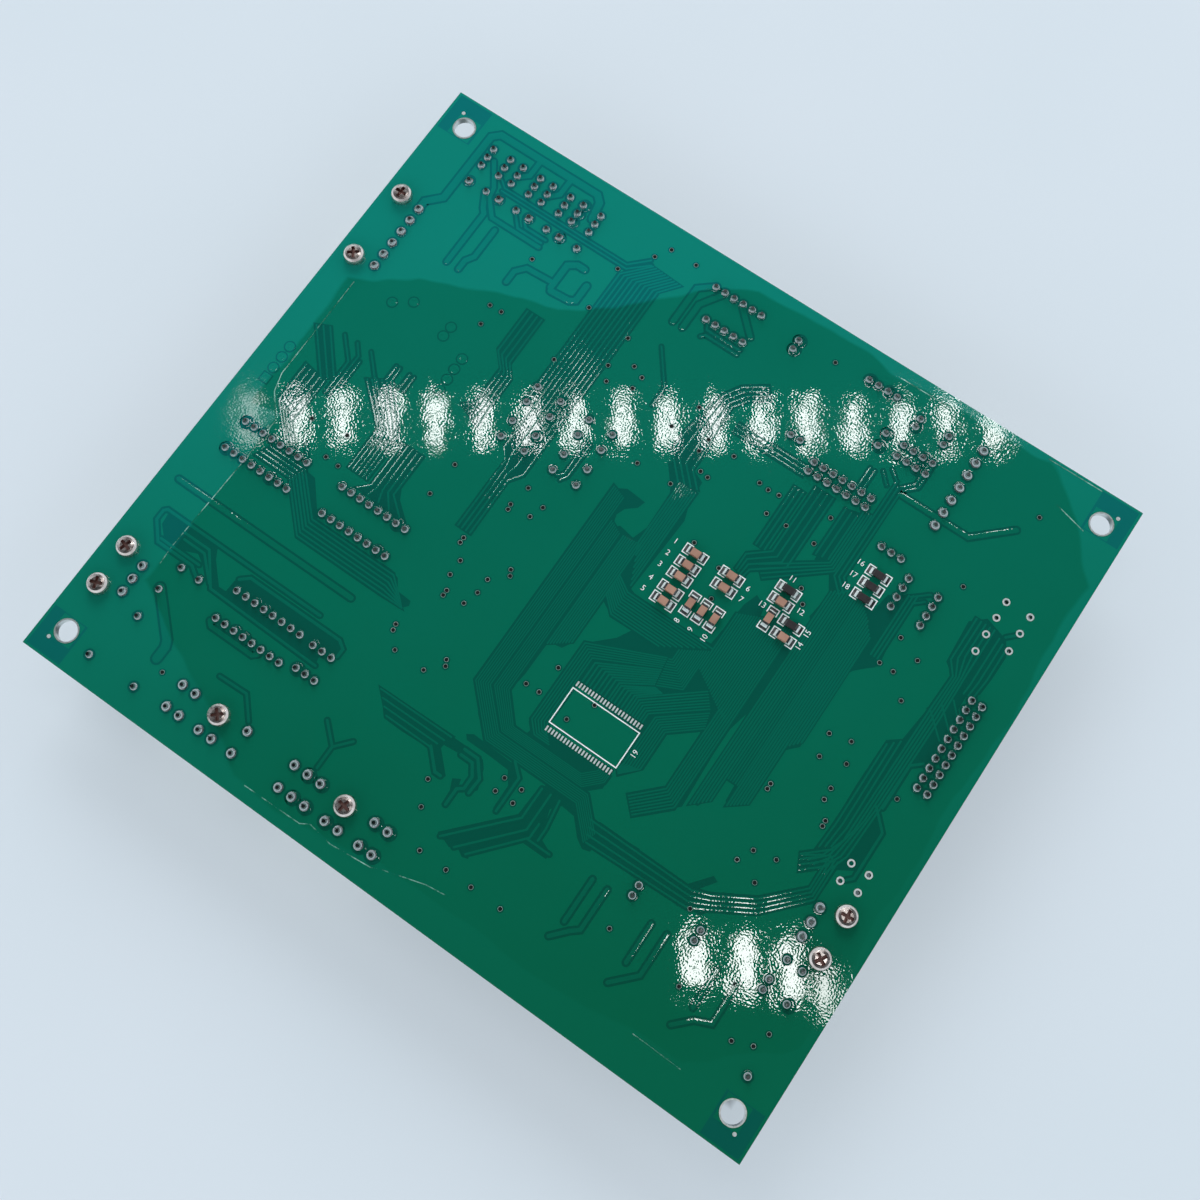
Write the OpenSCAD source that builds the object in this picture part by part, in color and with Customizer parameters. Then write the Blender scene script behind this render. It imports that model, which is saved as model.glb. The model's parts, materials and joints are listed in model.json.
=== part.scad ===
// Control board of a lift, lying component side down, solder side up.
// The origin is on the table under the middle of the board. X runs along the board's long side.

/* [Board] */
// Length of the board
board_l = 190; // [186:1:200]
// Width of the board
board_w = 166; // [162:1:176]
// Thickness of the laminate
board_t = 1.6; // [1.2:0.1:2.4]
// Height of the connectors that the board stands on
stack_h = 15; // [14:0.5:20]
// Distance from a corner hole to the short edge beside it
hole_edge_x = 6.5; // [5:0.5:8]
// Distance from a corner hole to the long edge beside it
hole_edge_y = 7.5; // [5:0.5:9]
// Diameter of the corner holes
hole_d = 5; // [4:0.1:6]
// Width of the tinned rim around a corner hole
rim_w = 0.35; // [0.2:0.05:1]
// Thickness of tinned copper on the solder face
land_t = 0.05; // [0.03:0.01:0.1]

/* [Solder joints] */
// Diameter of a small joint
joint_d = 1.7; // [1.5:0.05:2.2]
// Diameter of a connector's joint
big_joint_d = 2.2; // [1.8:0.05:2.6]
// Diameter of a cut lead in its joint
lead_d = 0.75; // [0.5:0.05:0.9]
// Height of the solder on a lead
joint_h = 0.75; // [0.4:0.05:1.2]
// Length of bare lead above the solder
lead_tip = 0.35; // [0.1:0.05:0.8]
// Diameter of a plated hole that was left empty
empty_hole_d = 1; // [0.8:0.05:1.2]
// Diameter of the tinned ring around an empty hole
empty_ring_d = 1.75; // [1.5:0.05:2.2]

/* [Fixing screws] */
// Diameter of the screw's shank
screw_d = 2.5; // [2:0.1:3]
// Length of the screw under its head
screw_len = 6; // [5:0.5:8]
// Diameter of the pan head
head_d = 5; // [4.4:0.1:6]
// Height of the pan head
head_h = 1.9; // [1.5:0.1:2.4]
// Length of each arm of the cross recess, tip to tip
recess_l = 2.9; // [2:0.1:3.4]
// Width of each arm of the cross recess
recess_w = 0.75; // [0.5:0.05:1]
// Depth of the cross recess
recess_deep = 1.1; // [0.6:0.1:1.3]
// Room under the tip of a screw in its housing
tip_room = 0.4; // [0.2:0.1:0.8]
// Thickness of housing left under that room
floor_skin = 0.8; // [0.5:0.1:1.5]
// Play between the shank and its hole in the board
screw_play = 0.2; // [0.1:0.05:0.4]

/* [Edge connectors] */
// Pitch of the contacts
way_pitch = 3.55; // [3.3:0.05:3.8]
// Distance between the screws of the six-way connector
six_screw_span = 19; // [18:0.1:22]
// Distance between the screws of a three-way connector
three_screw_span = 10.4; // [10:0.1:12]
// Housing beyond each screw
screw_margin = 2.9; // [2.5:0.1:4]
// Depth of a housing from its mouth to its back
housing_depth = 8.5; // [8:0.1:9.5]
// Distance from the contact row to the back of the housing
tail_gap = 1.7; // [1.2:0.1:2.5]
// Distance from the contact row to the screws
screw_offset = 5.45; // [5:0.05:6]
// Distance from the mouth of the left three-way connector to the board's edge
left_inset = 0.9; // [0:0.1:3]
// Distance from the mouth of the right three-way connector to the board's edge
right_inset = 3.5; // [0:0.1:5]
// Wall of a connector housing
housing_wall = 1.4; // [1:0.1:1.8]
// Width of the keying slot in the outer wall
key_w = 4; // [3:0.1:5]
// Width of a contact
contact_w = 1.2; // [0.8:0.1:1.6]
// Thickness of a contact
contact_t = 0.8; // [0.5:0.1:1]
// Length of a contact inside the mating space
contact_reach = 2.5; // [1.5:0.1:3]
// Play around a contact in its housing
contact_play = 0.05; // [0.03:0.01:0.1]

/* [Upright connectors] */
// Distance between the two contact rows of the supply and output connectors
row_gap = 5.8; // [5.2:0.1:6.4]
// Distance between neighbouring groups of contacts
group_gap = 5.5; // [5:0.1:6.5]
// Housing beyond the outer contacts
contact_margin = 3; // [2.6:0.1:4]
// Width of the seven-way housing
seven_w = 8.6; // [8:0.1:10]
// Thickness of the ribs between groups of contacts
rib_t = 1; // [0.8:0.1:1.4]
// Length of a contact above the floor of the housing
blade_rise = 4.6; // [3:0.1:5]

/* [Relays] */
// Length of a relay
relay_l = 15; // [13:0.1:16]
// Width of a relay
relay_w = 7.4; // [6.8:0.1:8]
// Height of a relay
relay_h = 9.4; // [8:0.1:12]
// Distance from one relay to the next
relay_step = 8.82; // [8.4:0.02:9.4]
// Height of the relay's base under its cover
relay_base_h = 1.6; // [1:0.1:2.5]
// Step from the relay's base in to its cover
relay_step_in = 0.2; // [0.1:0.05:0.4]

/* [Push switches] */
// Side of the square switch base
switch_w = 6; // [5.6:0.1:6.2]
// Height of the switch base
switch_h = 3.5; // [3:0.1:4.5]
// Distance between a switch's terminals across its sides
terminal_span_x = 6.5; // [6.3:0.1:7.5]
// Distance between a switch's terminals along its sides
terminal_span_y = 4.5; // [4:0.1:5]
// Thickness of the steel cover
cover_t = 0.3; // [0.2:0.05:0.5]
// Diameter of the button's stem
stem_d = 3.4; // [3:0.1:3.8]
// Height of the button above the cover
stem_rise = 1.4; // [1:0.1:6]
// Thickness of the flange that keeps the button in
flange_t = 1.25; // [0.8:0.05:1.5]
// Width of that flange beyond the stem
flange_w = 0.55; // [0.4:0.05:0.6]
// Play around the stem and the flange
button_play = 0.15; // [0.1:0.05:0.2]
// Travel of the button
travel = 0.25; // [0.15:0.05:0.35]

/* [Through-hole chips] */
// Pitch of chip leads and header posts
pitch = 2.54; // [2.5:0.01:2.6]
// Distance between a chip's two rows of leads
chip_rows = 7.62; // [7.4:0.01:8]
// Width of a chip's moulding
chip_w = 6.4; // [5.8:0.1:6.8]
// Height of the moulding's top above the board
chip_top = 4.2; // [3.6:0.1:5]
// Height of the moulding's underside above the board
chip_gap = 0.6; // [0.4:0.05:1]
// Moulding beyond the outer leads
chip_margin = 0.75; // [0.6:0.05:1.2]
// Width of a chip lead
chip_lead_w = 1.1; // [0.6:0.1:1.4]
// Thickness of a chip lead
chip_lead_t = 0.26; // [0.2:0.02:0.4]

/* [Headers] */
// Side of a square post
post_w = 0.64; // [0.5:0.02:0.8]
// Height of a box header
box_h = 8.9; // [8:0.1:11]
// Width of a box header
box_w = 8.8; // [8.4:0.1:10]
// Box header beyond its outer posts
box_margin = 5.1; // [4:0.1:6]
// Wall of a box header
box_wall = 1.1; // [0.8:0.1:1.5]
// Floor of a box header
box_floor = 2.4; // [2:0.1:3]
// Height of a plain post strip
strip_h = 2.5; // [2:0.1:4]
// Height of the posts above the board
post_h = 7.9; // [6.5:0.1:8.5]
// Play around a post in its strip
post_play = 0.04; // [0.02:0.01:0.08]

/* [Surface chips] */
// Length of the processor
processor_l = 20; // [18:0.5:24]
// Width of the processor
processor_w = 14; // [12:0.5:16]
// Height of the processor's moulding
processor_h = 2.7; // [2:0.1:3.4]
// Pitch of the processor's leads
processor_pitch = 0.65; // [0.6:0.01:0.8]
// Length of a memory
memory_l = 18.4; // [17.8:0.1:22]
// Width of a memory
memory_w = 10.2; // [9:0.1:12]
// Height of a memory's moulding
memory_h = 1.2; // [1:0.05:2]
// Pitch of a memory's leads, and of the bare pads on the solder side
memory_pitch = 0.8; // [0.76:0.01:0.82]
// Distance between the two rows of bare pads
bare_rows = 11.8; // [11:0.1:13]
// Length of a chip part such as a capacitor
part_l = 3.2; // [2.8:0.1:3.6]
// Width of a chip part
part_w = 1.6; // [1.3:0.05:1.8]
// Length of a chip part's tinned end
end_l = 0.5; // [0.3:0.05:0.8]
// Length of the solder in front of a tinned end
fillet_l = 1.15; // [0.8:0.05:1.3]
// Height of a chip capacitor
capacitor_h = 1.2; // [0.8:0.05:1.4]
// Height of a chip resistor
resistor_h = 0.6; // [0.4:0.05:0.8]
// Height of the chip inductor
inductor_h = 1.4; // [1:0.05:1.8]

/* [Other parts] */
// Diameter of a filter capacitor
can_d = 6.3; // [5:0.1:7]
// Height of a filter capacitor
can_h = 11.2; // [9:0.1:12]
// Gap between a filter capacitor and the header beside it
can_side_gap = 2.3; // [1:0.1:3]
// Height of a filter capacitor's end above the board
can_gap = 0.6; // [0.3:0.1:1]
// Lead pitch of a filter capacitor
can_pitch = 2.5; // [2:0.1:3]
// Length of the power module
module_l = 19; // [17:0.1:20]
// Width of the power module
module_w = 11.4; // [10:0.1:13]
// Height of the power module
module_h = 8.5; // [7:0.1:11]
// Distance between the power module's two rows of pins
module_rows = 8.1; // [7.6:0.1:9]
// Distance between the transformer's two rows of pins
coil_rows = 6.15; // [5.8:0.05:6.6]
// Gap between the transformer and the driver chip beside it
coil_gap = 1.2; // [0.8:0.1:2]
// Transformer beyond its outer pins
coil_margin = 1.87; // [1.5:0.01:2.2]
// Height of the transformer
coil_h = 7.2; // [6:0.1:9]
// Diameter of the surge absorber's disc
disc_d = 9.5; // [8.5:0.1:11]
// Thickness of the surge absorber's disc
disc_t = 3.8; // [3:0.1:4.5]
// Lead pitch of the surge absorber
disc_pitch = 7.5; // [7:0.1:8]
// Height of the surge absorber's rim above the board
disc_foot = 2; // [1:0.1:3]
// Lead pitch of the film capacitor
film_pitch = 5; // [4.5:0.1:5.5]
// Film capacitor beyond its leads
film_margin = 1.1; // [0.8:0.1:1.5]
// Height of the film capacitor
film_h = 7; // [5:0.1:9]
// Length of the axial resistor's body
axial_l = 9.5; // [8:0.1:11]
// Diameter of the axial resistor's body
axial_d = 3.4; // [2.5:0.1:4]
// Height of the axial resistor above the board
axial_gap = 0.6; // [0.3:0.1:1.5]
// Lead pitch of the axial resistor
axial_pitch = 12.7; // [12.4:0.1:13]
// Diameter of the wire leads
wire_d = 0.6; // [0.5:0.05:0.8]

/* [Hidden] */
$fn = 32;

// Heights of the two faces of the board
comp_z = stack_h;
solder_z = stack_h + board_t;
// Overrun of a cut past the face that it opens
cut = 1;

// Colours
mask_green = [0.06, 0.45, 0.38];
tin = [0.78, 0.79, 0.8];
nickel = [0.72, 0.71, 0.69];
black = [0.09, 0.09, 0.1];
nylon = [0.88, 0.87, 0.82];

// A place on the board, in hundredths of its half length and half width from the middle
function spot(x, y) = [x / 100 * board_l / 2, y / 100 * board_w / 2];

// Contact rows of the edge connectors: place of the row's middle, and the way its mouth faces
row_edge = tail_gap + housing_depth;
six_way = [-board_l / 2 + row_edge, spot(0, 51.7).y, 180];
left_three_way = [-board_l / 2 + row_edge + left_inset, spot(0, -69.8).y, 180];
right_three_way = [board_l / 2 - row_edge - right_inset, spot(0, -41.75).y, 0];
six_count = 6;
three_count = 3;

// Contacts of the upright connectors: columns from the left one, in groups
supply_at = spot(-62.6, -91.7);
output_at = spot(-29.9, -91.7);
seven_at = spot(60.9, 78);
seven_count = 7;
supply_x = [0, way_pitch, way_pitch + group_gap, 2 * way_pitch + group_gap,
    2 * way_pitch + 2 * group_gap];
output_x = [0, way_pitch, 2 * way_pitch, 2 * way_pitch + group_gap, 3 * way_pitch + group_gap,
    3 * way_pitch + 2 * group_gap, 4 * way_pitch + 2 * group_gap];
// The two columns beside the screw have no contact in the upper row
supply_screw_cols = [2, 3];
output_screw_cols = [3, 4];
screw_row_drop = 0.7;

// Places of the other parts on the board
relay_at = spot(-80.7, 84);
relay_rows = [2 * pitch, pitch, 0, -2 * pitch];
relay_cols = 2 * pitch;
switch_at = [for (y = [34.5, 22.3], x = [-33.6, -18.4]) spot(x, y)];
driver_at = [spot(-81.1, -21.6), spot(-51.7, -21.6), spot(-56.8, -61)];
driver_count = 8;
driver_l = (driver_count - 1) * pitch + 2 * chip_margin;
small_chip_at = spot(66.6, 43.9);
small_chip_count = 4;
module_at = spot(-8.9, 85.4);
module_count = 6;
coil_count = 3;
coil_l = (coil_count - 1) * pitch + 2 * coil_margin;
coil_at = [driver_at[2].x + driver_l / 2 + coil_gap + coil_l / 2, spot(0, -60.4).y];
ribbon_at = spot(90.9, 16);
ribbon_count = 10;
service_at = spot(36.9, 60.4);
service_count = 7;
service_l = service_count * pitch;
processor_at = spot(23, 1);
memory_at = [spot(-22.6, -26.5), spot(68.9, -26.5)];
memory_count = 22;
bare_at = spot(21.5, -32.3);
can_at = concat([[service_at.x - service_l / 2 - can_side_gap - can_d / 2, spot(0, 65.1).y, 0]],
    [for (p = [spot(49.8, -60.5), spot(66.5, -60.8), spot(84.6, -60.9)]) [p.x, p.y, 90]]);
disc_at = spot(-81.6, -72.5);
film_at = spot(-77.8, -59.9);
axial_at = spot(-78.5, -92.5);
// Post strips: middle, number of posts, pitch and turn
strips = [concat(spot(8.9, 88.3), [2, pitch, 90]), concat(spot(55.9, 52), [3, pitch, 0]),
    concat(spot(32.6, 91), [4, pitch, 0])];
// Chip parts on the solder side: place and turn
capacitors = concat(
    [for (y = [21.9, 18, 14.2, 9.8, 6.1]) concat(spot(18, y), 0)],
    [for (y = [22.2, 18.3]) concat(spot(28, y), 0)],
    [for (x = [23.6, 26.9, 30.3]) concat(spot(x, 9.6), 90)],
    [concat(spot(40.9, 23.7), 0), concat(spot(40.6, 18), 90), concat(spot(45.8, 15.9), 0)]
);
resistors = concat([concat(spot(45.8, 20), 0)], [for (y = [44.8, 41, 37.1]) concat(spot(56.3, y), 0)]);
inductors = [concat(spot(40.9, 27.5), 0)];
// Plated holes left empty
empty_holes = concat(
    [for (y = [57.8, 52.6, 47.2, 41.7]) spot(84.3, y)],
    [for (y = [57.8, 52.4, 46.7]) spot(90.7, y)],
    [for (x = [86.2, 90.8], y = [-23.6, -28.9]) spot(x, y)]
);
// Lone soldered leads, pairs of them, and the two beside the right three-way connector
lone_joints = [spot(90.6, -62), spot(91.7, -81.8)];
pair_joints = [concat(spot(39.2, 78.1), 3.5), concat(spot(44.2, 87.8), 2.2), concat(spot(52.1, 87.7), 2.4)];
side_joints = [[0, -9.25], [3.9, -9.45]];
// Two-row joints of a header footprint beside the service header
spare_at = spot(48.4, 78.1);
spare_rows = 3.1;
spare_count = 4;
corner_dot = [2.5, 3.2];
corner_dot_d = 0.9;

// Rows of points, centred on a place
function spread(n, step) = [for (i = [0:n - 1]) (i - (n - 1) / 2) * step];
function turned(p, at, a) =
    [at.x + p.x * cos(a) - p.y * sin(a), at.y + p.x * sin(a) + p.y * cos(a)];
function row_points(at, n, step, a) = [for (x = spread(n, step)) turned([x, 0], at, a)];
function two_rows(at, n, step, gap, a = 0) =
    [for (y = [-gap / 2, gap / 2], x = spread(n, step)) turned([x, y], at, a)];

// Screws and contacts of the connectors
screw_reach = screw_len - board_t;
thread_play = 0.05;
thread_end = screw_reach + tip_room;
floor_t = thread_end + floor_skin;
function edge_screws(c, span) = [for (s = [-1, 1]) turned([screw_offset, s * span / 2], c, c[2])];
function mid_column(xs, cols) = (xs[cols[0]] + xs[cols[1]]) / 2;
function upright_screw(at, xs, cols) = [at.x + mid_column(xs, cols), at.y + row_gap - screw_row_drop];
function upright_contacts(at, xs, cols) = concat(
    [for (x = xs) [at.x + x, at.y]],
    [for (i = [0:len(xs) - 1]) if (len(search(i, cols)) == 0) [at.x + xs[i], at.y + row_gap]]
);
supply_contact_at = upright_contacts(supply_at, supply_x, supply_screw_cols);
output_contact_at = upright_contacts(output_at, output_x, output_screw_cols);
seven_contact_at = row_points(seven_at, seven_count, way_pitch, 90);
supply_screw = upright_screw(supply_at, supply_x, supply_screw_cols);
output_screw = upright_screw(output_at, output_x, output_screw_cols);
screws = concat(edge_screws(six_way, six_screw_span), edge_screws(left_three_way, three_screw_span),
    edge_screws(right_three_way, three_screw_span), [supply_screw, output_screw]);
corner_holes = [for (sx = [-1, 1], sy = [-1, 1])
    [sx * (board_l / 2 - hole_edge_x), sy * (board_w / 2 - hole_edge_y)]];

// Joints on the solder side, by the part that they hold
relay_mid = [for (i = [0:3]) [relay_at.x + i * relay_step, relay_at.y]];
relay_pins = [for (m = relay_mid, x = [-relay_cols / 2, relay_cols / 2], i = [0:3])
    if (x > 0 || i < 3) [m.x + x, m.y + relay_rows[i]]];
relay_first_pins = [for (m = relay_mid) [m.x - relay_cols / 2, m.y + relay_rows[3]]];
switch_pins = [for (s = switch_at, x = [-1, 1], y = [-1, 1])
    [s.x + x * terminal_span_x / 2, s.y + y * terminal_span_y / 2]];
chip_pins = concat([for (d = driver_at) each two_rows(d, driver_count, pitch, chip_rows)],
    [for (p = two_rows(small_chip_at, small_chip_count, pitch, chip_rows, 90)) p]);
module_pins = [for (i = [0:module_count - 1], s = [-1, 1]) if (s > 0 || i > 0)
    [module_at.x + spread(module_count, pitch)[i], module_at.y + s * module_rows / 2]];
coil_pins = two_rows(coil_at, coil_count, pitch, coil_rows);
ribbon_posts = two_rows(ribbon_at, ribbon_count, pitch, pitch, 90);
service_posts = two_rows(service_at, service_count, pitch, pitch);
strip_posts = [for (s = strips) each row_points(s, s[2], s[3], s[4])];
two_leads = concat([for (c = can_at) each row_points(c, 2, can_pitch, c[2])],
    row_points(disc_at, 2, disc_pitch, 90), row_points(film_at, 2, film_pitch, 0),
    row_points(axial_at, 2, axial_pitch, 0));
small_joints = concat(relay_pins, switch_pins, chip_pins, module_pins, coil_pins, ribbon_posts,
    service_posts, strip_posts, two_leads, lone_joints,
    [for (p = pair_joints) each row_points(p, 2, p[2], 90)],
    [for (p = side_joints) turned(p, right_three_way, 0)],
    two_rows(spare_at, spare_count, pitch, spare_rows));
big_joints = concat(row_points(six_way, six_count, way_pitch, 90),
    row_points(left_three_way, three_count, way_pitch, 90),
    row_points(right_three_way, three_count, way_pitch, 90),
    supply_contact_at, output_contact_at, seven_contact_at);

// Draws what follows on the component side: z then runs down from that face of the board
module under_board() translate([0, 0, comp_z]) mirror([0, 0, 1]) children();
module on_board() translate([0, 0, solder_z]) children();
module block(at, s, z = 0) translate([at.x - s.x / 2, at.y - s.y / 2, z]) cube(s);
// Profile in the plane of x and z, drawn out to a width along y
module along_y(width) translate([0, width / 2, 0]) rotate([90, 0, 0]) linear_extrude(width) children();
module placed(at, a) translate([at.x, at.y, 0]) rotate(a) children();
module bevelled(l, w, c) polygon([[-l / 2 + c, -w / 2], [l / 2 - c, -w / 2], [l / 2, -w / 2 + c],
    [l / 2, w / 2 - c], [l / 2 - c, w / 2], [-l / 2 + c, w / 2], [-l / 2, w / 2 - c], [-l / 2, -w / 2 + c]]);

module circuit_board() color(mask_green)
    difference() {
        translate([-board_l / 2, -board_w / 2, comp_z]) cube([board_l, board_w, board_t]);
        for (p = corner_holes) drill(p, hole_d);
        for (p = screws) drill(p, screw_d + 2 * screw_play);
        for (p = empty_holes) drill(p, empty_hole_d);
    }
module drill(p, d) translate([p.x, p.y, comp_z - cut]) cylinder(h = board_t + 2 * cut, d = d);

// A solder cone with hollow flanks, and the cut lead that stands out of it
module joint(p, d) translate([p.x, p.y, 0]) rotate_extrude() joint_profile(d / 2, lead_d / 2);
module joint_profile(r, lead_r) {
    foot = land_t;
    flank = r - lead_r;
    polygon([[0, 0], [r, 0], [r, foot], [lead_r + flank * 0.62, foot + joint_h * 0.2],
        [lead_r + flank * 0.3, foot + joint_h * 0.5], [lead_r + flank * 0.1, foot + joint_h * 0.85],
        [lead_r, foot + joint_h], [lead_r, foot + joint_h + lead_tip], [0, foot + joint_h + lead_tip]]);
}
module solder_joints() color(tin) on_board() {
    for (p = small_joints) joint(p, joint_d);
    for (p = big_joints) joint(p, big_joint_d);
    for (p = relay_first_pins) {
        block(p, [joint_d, joint_d, land_t]);
        joint(p, joint_d);
    }
}

module ring(p, inner, outer) translate([p.x, p.y, 0]) difference() {
    cylinder(h = land_t, d = outer);
    translate([0, 0, -cut]) cylinder(h = land_t + 2 * cut, d = inner);
}
module tinned_lands() color(tin) on_board() {
    for (p = corner_holes) ring(p, hole_d, hole_d + 2 * rim_w);
    for (p = empty_holes) ring(p, empty_hole_d, empty_ring_d);
    for (p = corner_holes) translate([p.x + sign(p.x) * corner_dot.x, p.y + sign(p.y) * corner_dot.y, 0])
        cylinder(h = land_t, d = corner_dot_d);
    for (p = two_rows(bare_at, memory_count, memory_pitch, bare_rows))
        block(p, [memory_pitch / 2, 1.5 * memory_pitch, land_t]);
}

// Pan head with a rounded edge, cross recess and plain shank
module fixing_screw() difference() {
    union() {
        rotate_extrude() polygon([[0, 0], [head_d / 2, 0], [head_d / 2, head_h * 0.4],
            [head_d * 0.47, head_h * 0.68], [head_d * 0.38, head_h * 0.9], [head_d * 0.25, head_h],
            [0, head_h]]);
        translate([0, 0, -screw_len]) cylinder(h = screw_len + head_h / 2, d = screw_d);
    }
    for (a = [0, 90]) rotate(a)
        block([0, 0], [recess_l, recess_w, recess_deep + cut], head_h - recess_deep);
}
// Each screw was left with its recess at its own angle
module fixing_screws() color(nickel) on_board()
    for (i = [0:len(screws) - 1]) translate([screws[i].x, screws[i].y, 0]) rotate(37 * i) fixing_screw();

// Chip parts on the solder side
module part_body(at, h) placed(at, at[2]) block([0, 0], [part_l - 2 * end_l, part_w, h]);
module part_end(h) along_y(part_w) polygon([[part_l / 2 - end_l, 0], [part_l / 2 + fillet_l, 0],
    [part_l / 2 + fillet_l, land_t], [part_l / 2 + fillet_l * 0.45, h * 0.2],
    [part_l / 2 + fillet_l * 0.15, h * 0.55], [part_l / 2, h], [part_l / 2 - end_l, h]]);
module part_ends(at, h) placed(at, at[2]) {
    part_end(h);
    rotate(180) part_end(h);
}
module chip_capacitors() color([0.45, 0.3, 0.2]) on_board() for (c = capacitors) part_body(c, capacitor_h);
module chip_resistors() color(black) on_board() for (c = resistors) part_body(c, resistor_h);
module chip_inductor() color([0.2, 0.2, 0.22]) on_board() for (c = inductors) part_body(c, inductor_h);
module chip_terminations() color(tin) on_board() {
    for (c = capacitors) part_ends(c, capacitor_h);
    for (c = resistors) part_ends(c, resistor_h);
    for (c = inductors) part_ends(c, inductor_h);
}

// Edge connector: x runs from the contact row towards the mouth
mouth_x = tail_gap + housing_depth;
edge_contact_z = (floor_t + stack_h - housing_wall) / 2;
edge_cavity = housing_depth - housing_wall;
module edge_housing(c, n, span) color(nylon) under_board() placed(c, c[2]) difference() {
    w = span + 2 * screw_margin;
    translate([tail_gap, -w / 2, 0]) cube([housing_depth, w, stack_h]);
    translate([mouth_x - edge_cavity, -w / 2 + housing_wall, floor_t])
        cube([edge_cavity + cut, w - 2 * housing_wall, stack_h - floor_t - housing_wall]);
    translate([mouth_x - edge_cavity / 2, -key_w / 2, stack_h - housing_wall - cut])
        cube([edge_cavity, key_w, housing_wall + 2 * cut]);
    for (s = [-1, 1]) translate([screw_offset, s * span / 2, -cut])
        cylinder(h = thread_end + cut, d = screw_d + 2 * thread_play);
    for (y = spread(n, way_pitch)) translate([tail_gap + housing_wall / 2, y, edge_contact_z])
        cube([housing_wall + cut, contact_w + 2 * contact_play, contact_t + 2 * contact_play], center = true);
}
module edge_contacts(c, n) color(tin) under_board() placed(c, c[2])
    for (y = spread(n, way_pitch)) translate([0, y, 0]) along_y(contact_w)
        polygon([[-contact_t / 2, 0], [contact_t / 2, 0], [contact_t / 2, edge_contact_z - contact_t / 2],
            [tail_gap + housing_wall + contact_reach, edge_contact_z - contact_t / 2],
            [tail_gap + housing_wall + contact_reach, edge_contact_z + contact_t / 2],
            [-contact_t / 2, edge_contact_z + contact_t / 2]]);
module six_way_housing() edge_housing(six_way, six_count, six_screw_span);
module six_way_contacts() edge_contacts(six_way, six_count);
module left_three_way_housing() edge_housing(left_three_way, three_count, three_screw_span);
module left_three_way_contacts() edge_contacts(left_three_way, three_count);
module right_three_way_housing() edge_housing(right_three_way, three_count, three_screw_span);
module right_three_way_contacts() edge_contacts(right_three_way, three_count);

// Upright connector: an open box over a thick floor that the contacts and the screw go through
module upright_housing(low, high, contacts, ribs, screw_list) difference() {
    union() {
        difference() {
            translate([low.x, low.y, 0]) cube([high.x - low.x, high.y - low.y, stack_h]);
            translate([low.x + housing_wall, low.y + housing_wall, floor_t])
                cube([high.x - low.x - 2 * housing_wall, high.y - low.y - 2 * housing_wall, stack_h]);
        }
        for (x = ribs) translate([x - rib_t / 2, low.y + housing_wall / 2, floor_t - cut])
            cube([rib_t, high.y - low.y - housing_wall, cut + blade_rise]);
    }
    for (p = contacts)
        block(p, [contact_t + 2 * contact_play, contact_w + 2 * contact_play, floor_t + 2 * cut], -cut);
    for (p = screw_list) translate([p.x, p.y, -cut])
        cylinder(h = thread_end + cut, d = screw_d + 2 * thread_play);
}
module upright_blades(contacts) color(tin) under_board()
    for (p = contacts) block(p, [contact_t, contact_w, floor_t + blade_rise]);
// Ribs stand midway between two groups of columns
function rib_x(at, xs, pairs) = [for (p = pairs) at.x + mid_column(xs, p)];
module two_row_housing(at, xs, contacts, pairs, screw) color(nylon) under_board()
    upright_housing([at.x - contact_margin, at.y - contact_margin],
        [at.x + xs[len(xs) - 1] + contact_margin, at.y + row_gap + contact_margin],
        contacts, rib_x(at, xs, pairs), [screw]);
module supply_housing()
    two_row_housing(supply_at, supply_x, supply_contact_at, [[1, 2], [3, 4]], supply_screw);
module supply_contacts() upright_blades(supply_contact_at);
module output_housing()
    two_row_housing(output_at, output_x, output_contact_at, [[2, 3], [4, 5]], output_screw);
module output_contacts() upright_blades(output_contact_at);
seven_half = (seven_count - 1) * way_pitch / 2 + contact_margin;
module seven_way_housing() color(nylon) under_board()
    upright_housing([seven_at.x - seven_w / 2, seven_at.y - seven_half],
        [seven_at.x + seven_w / 2, seven_at.y + seven_half], seven_contact_at, [], []);
module seven_way_contacts() upright_blades(seven_contact_at);

// Relay: a base, and a cover stepped in from it with a mark bar over its coil end
module signal_relay(i) color([0.93, 0.92, 0.88]) under_board() translate([relay_mid[i].x, relay_mid[i].y, 0])
    difference() {
        union() {
            linear_extrude(relay_base_h) bevelled(relay_w, relay_l, relay_step_in);
            linear_extrude(relay_h)
                bevelled(relay_w - 2 * relay_step_in, relay_l - 2 * relay_step_in, 2 * relay_step_in);
        }
        block([0, -relay_l / 2 + relay_w / 4], [relay_w / 2, relay_w / 12, relay_step_in + cut],
            relay_h - relay_step_in);
    }

// Push switch: base with a round pocket, steel cover, snap dome and button
flange_d = stem_d + 2 * flange_w;
pocket_d = flange_d + 2 * button_play;
flange_z = switch_h - flange_t - button_play / 3;
dome_t = 0.12;
dome_room = 0.05;
dome_h = 0.8;
pocket_floor = flange_z - travel - dome_room - dome_h;
module switch_base(i) color(black) under_board() translate([switch_at[i].x, switch_at[i].y, 0])
    difference() {
        linear_extrude(switch_h) bevelled(switch_w, switch_w, switch_w / 15);
        translate([0, 0, pocket_floor]) cylinder(h = switch_h, d = pocket_d);
    }
module switch_button(i) color(black) under_board() translate([switch_at[i].x, switch_at[i].y, 0]) {
    translate([0, 0, flange_z]) cylinder(h = flange_t, d = flange_d);
    translate([0, 0, flange_z]) cylinder(h = switch_h - flange_z + cover_t + stem_rise, d = stem_d);
}
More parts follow.
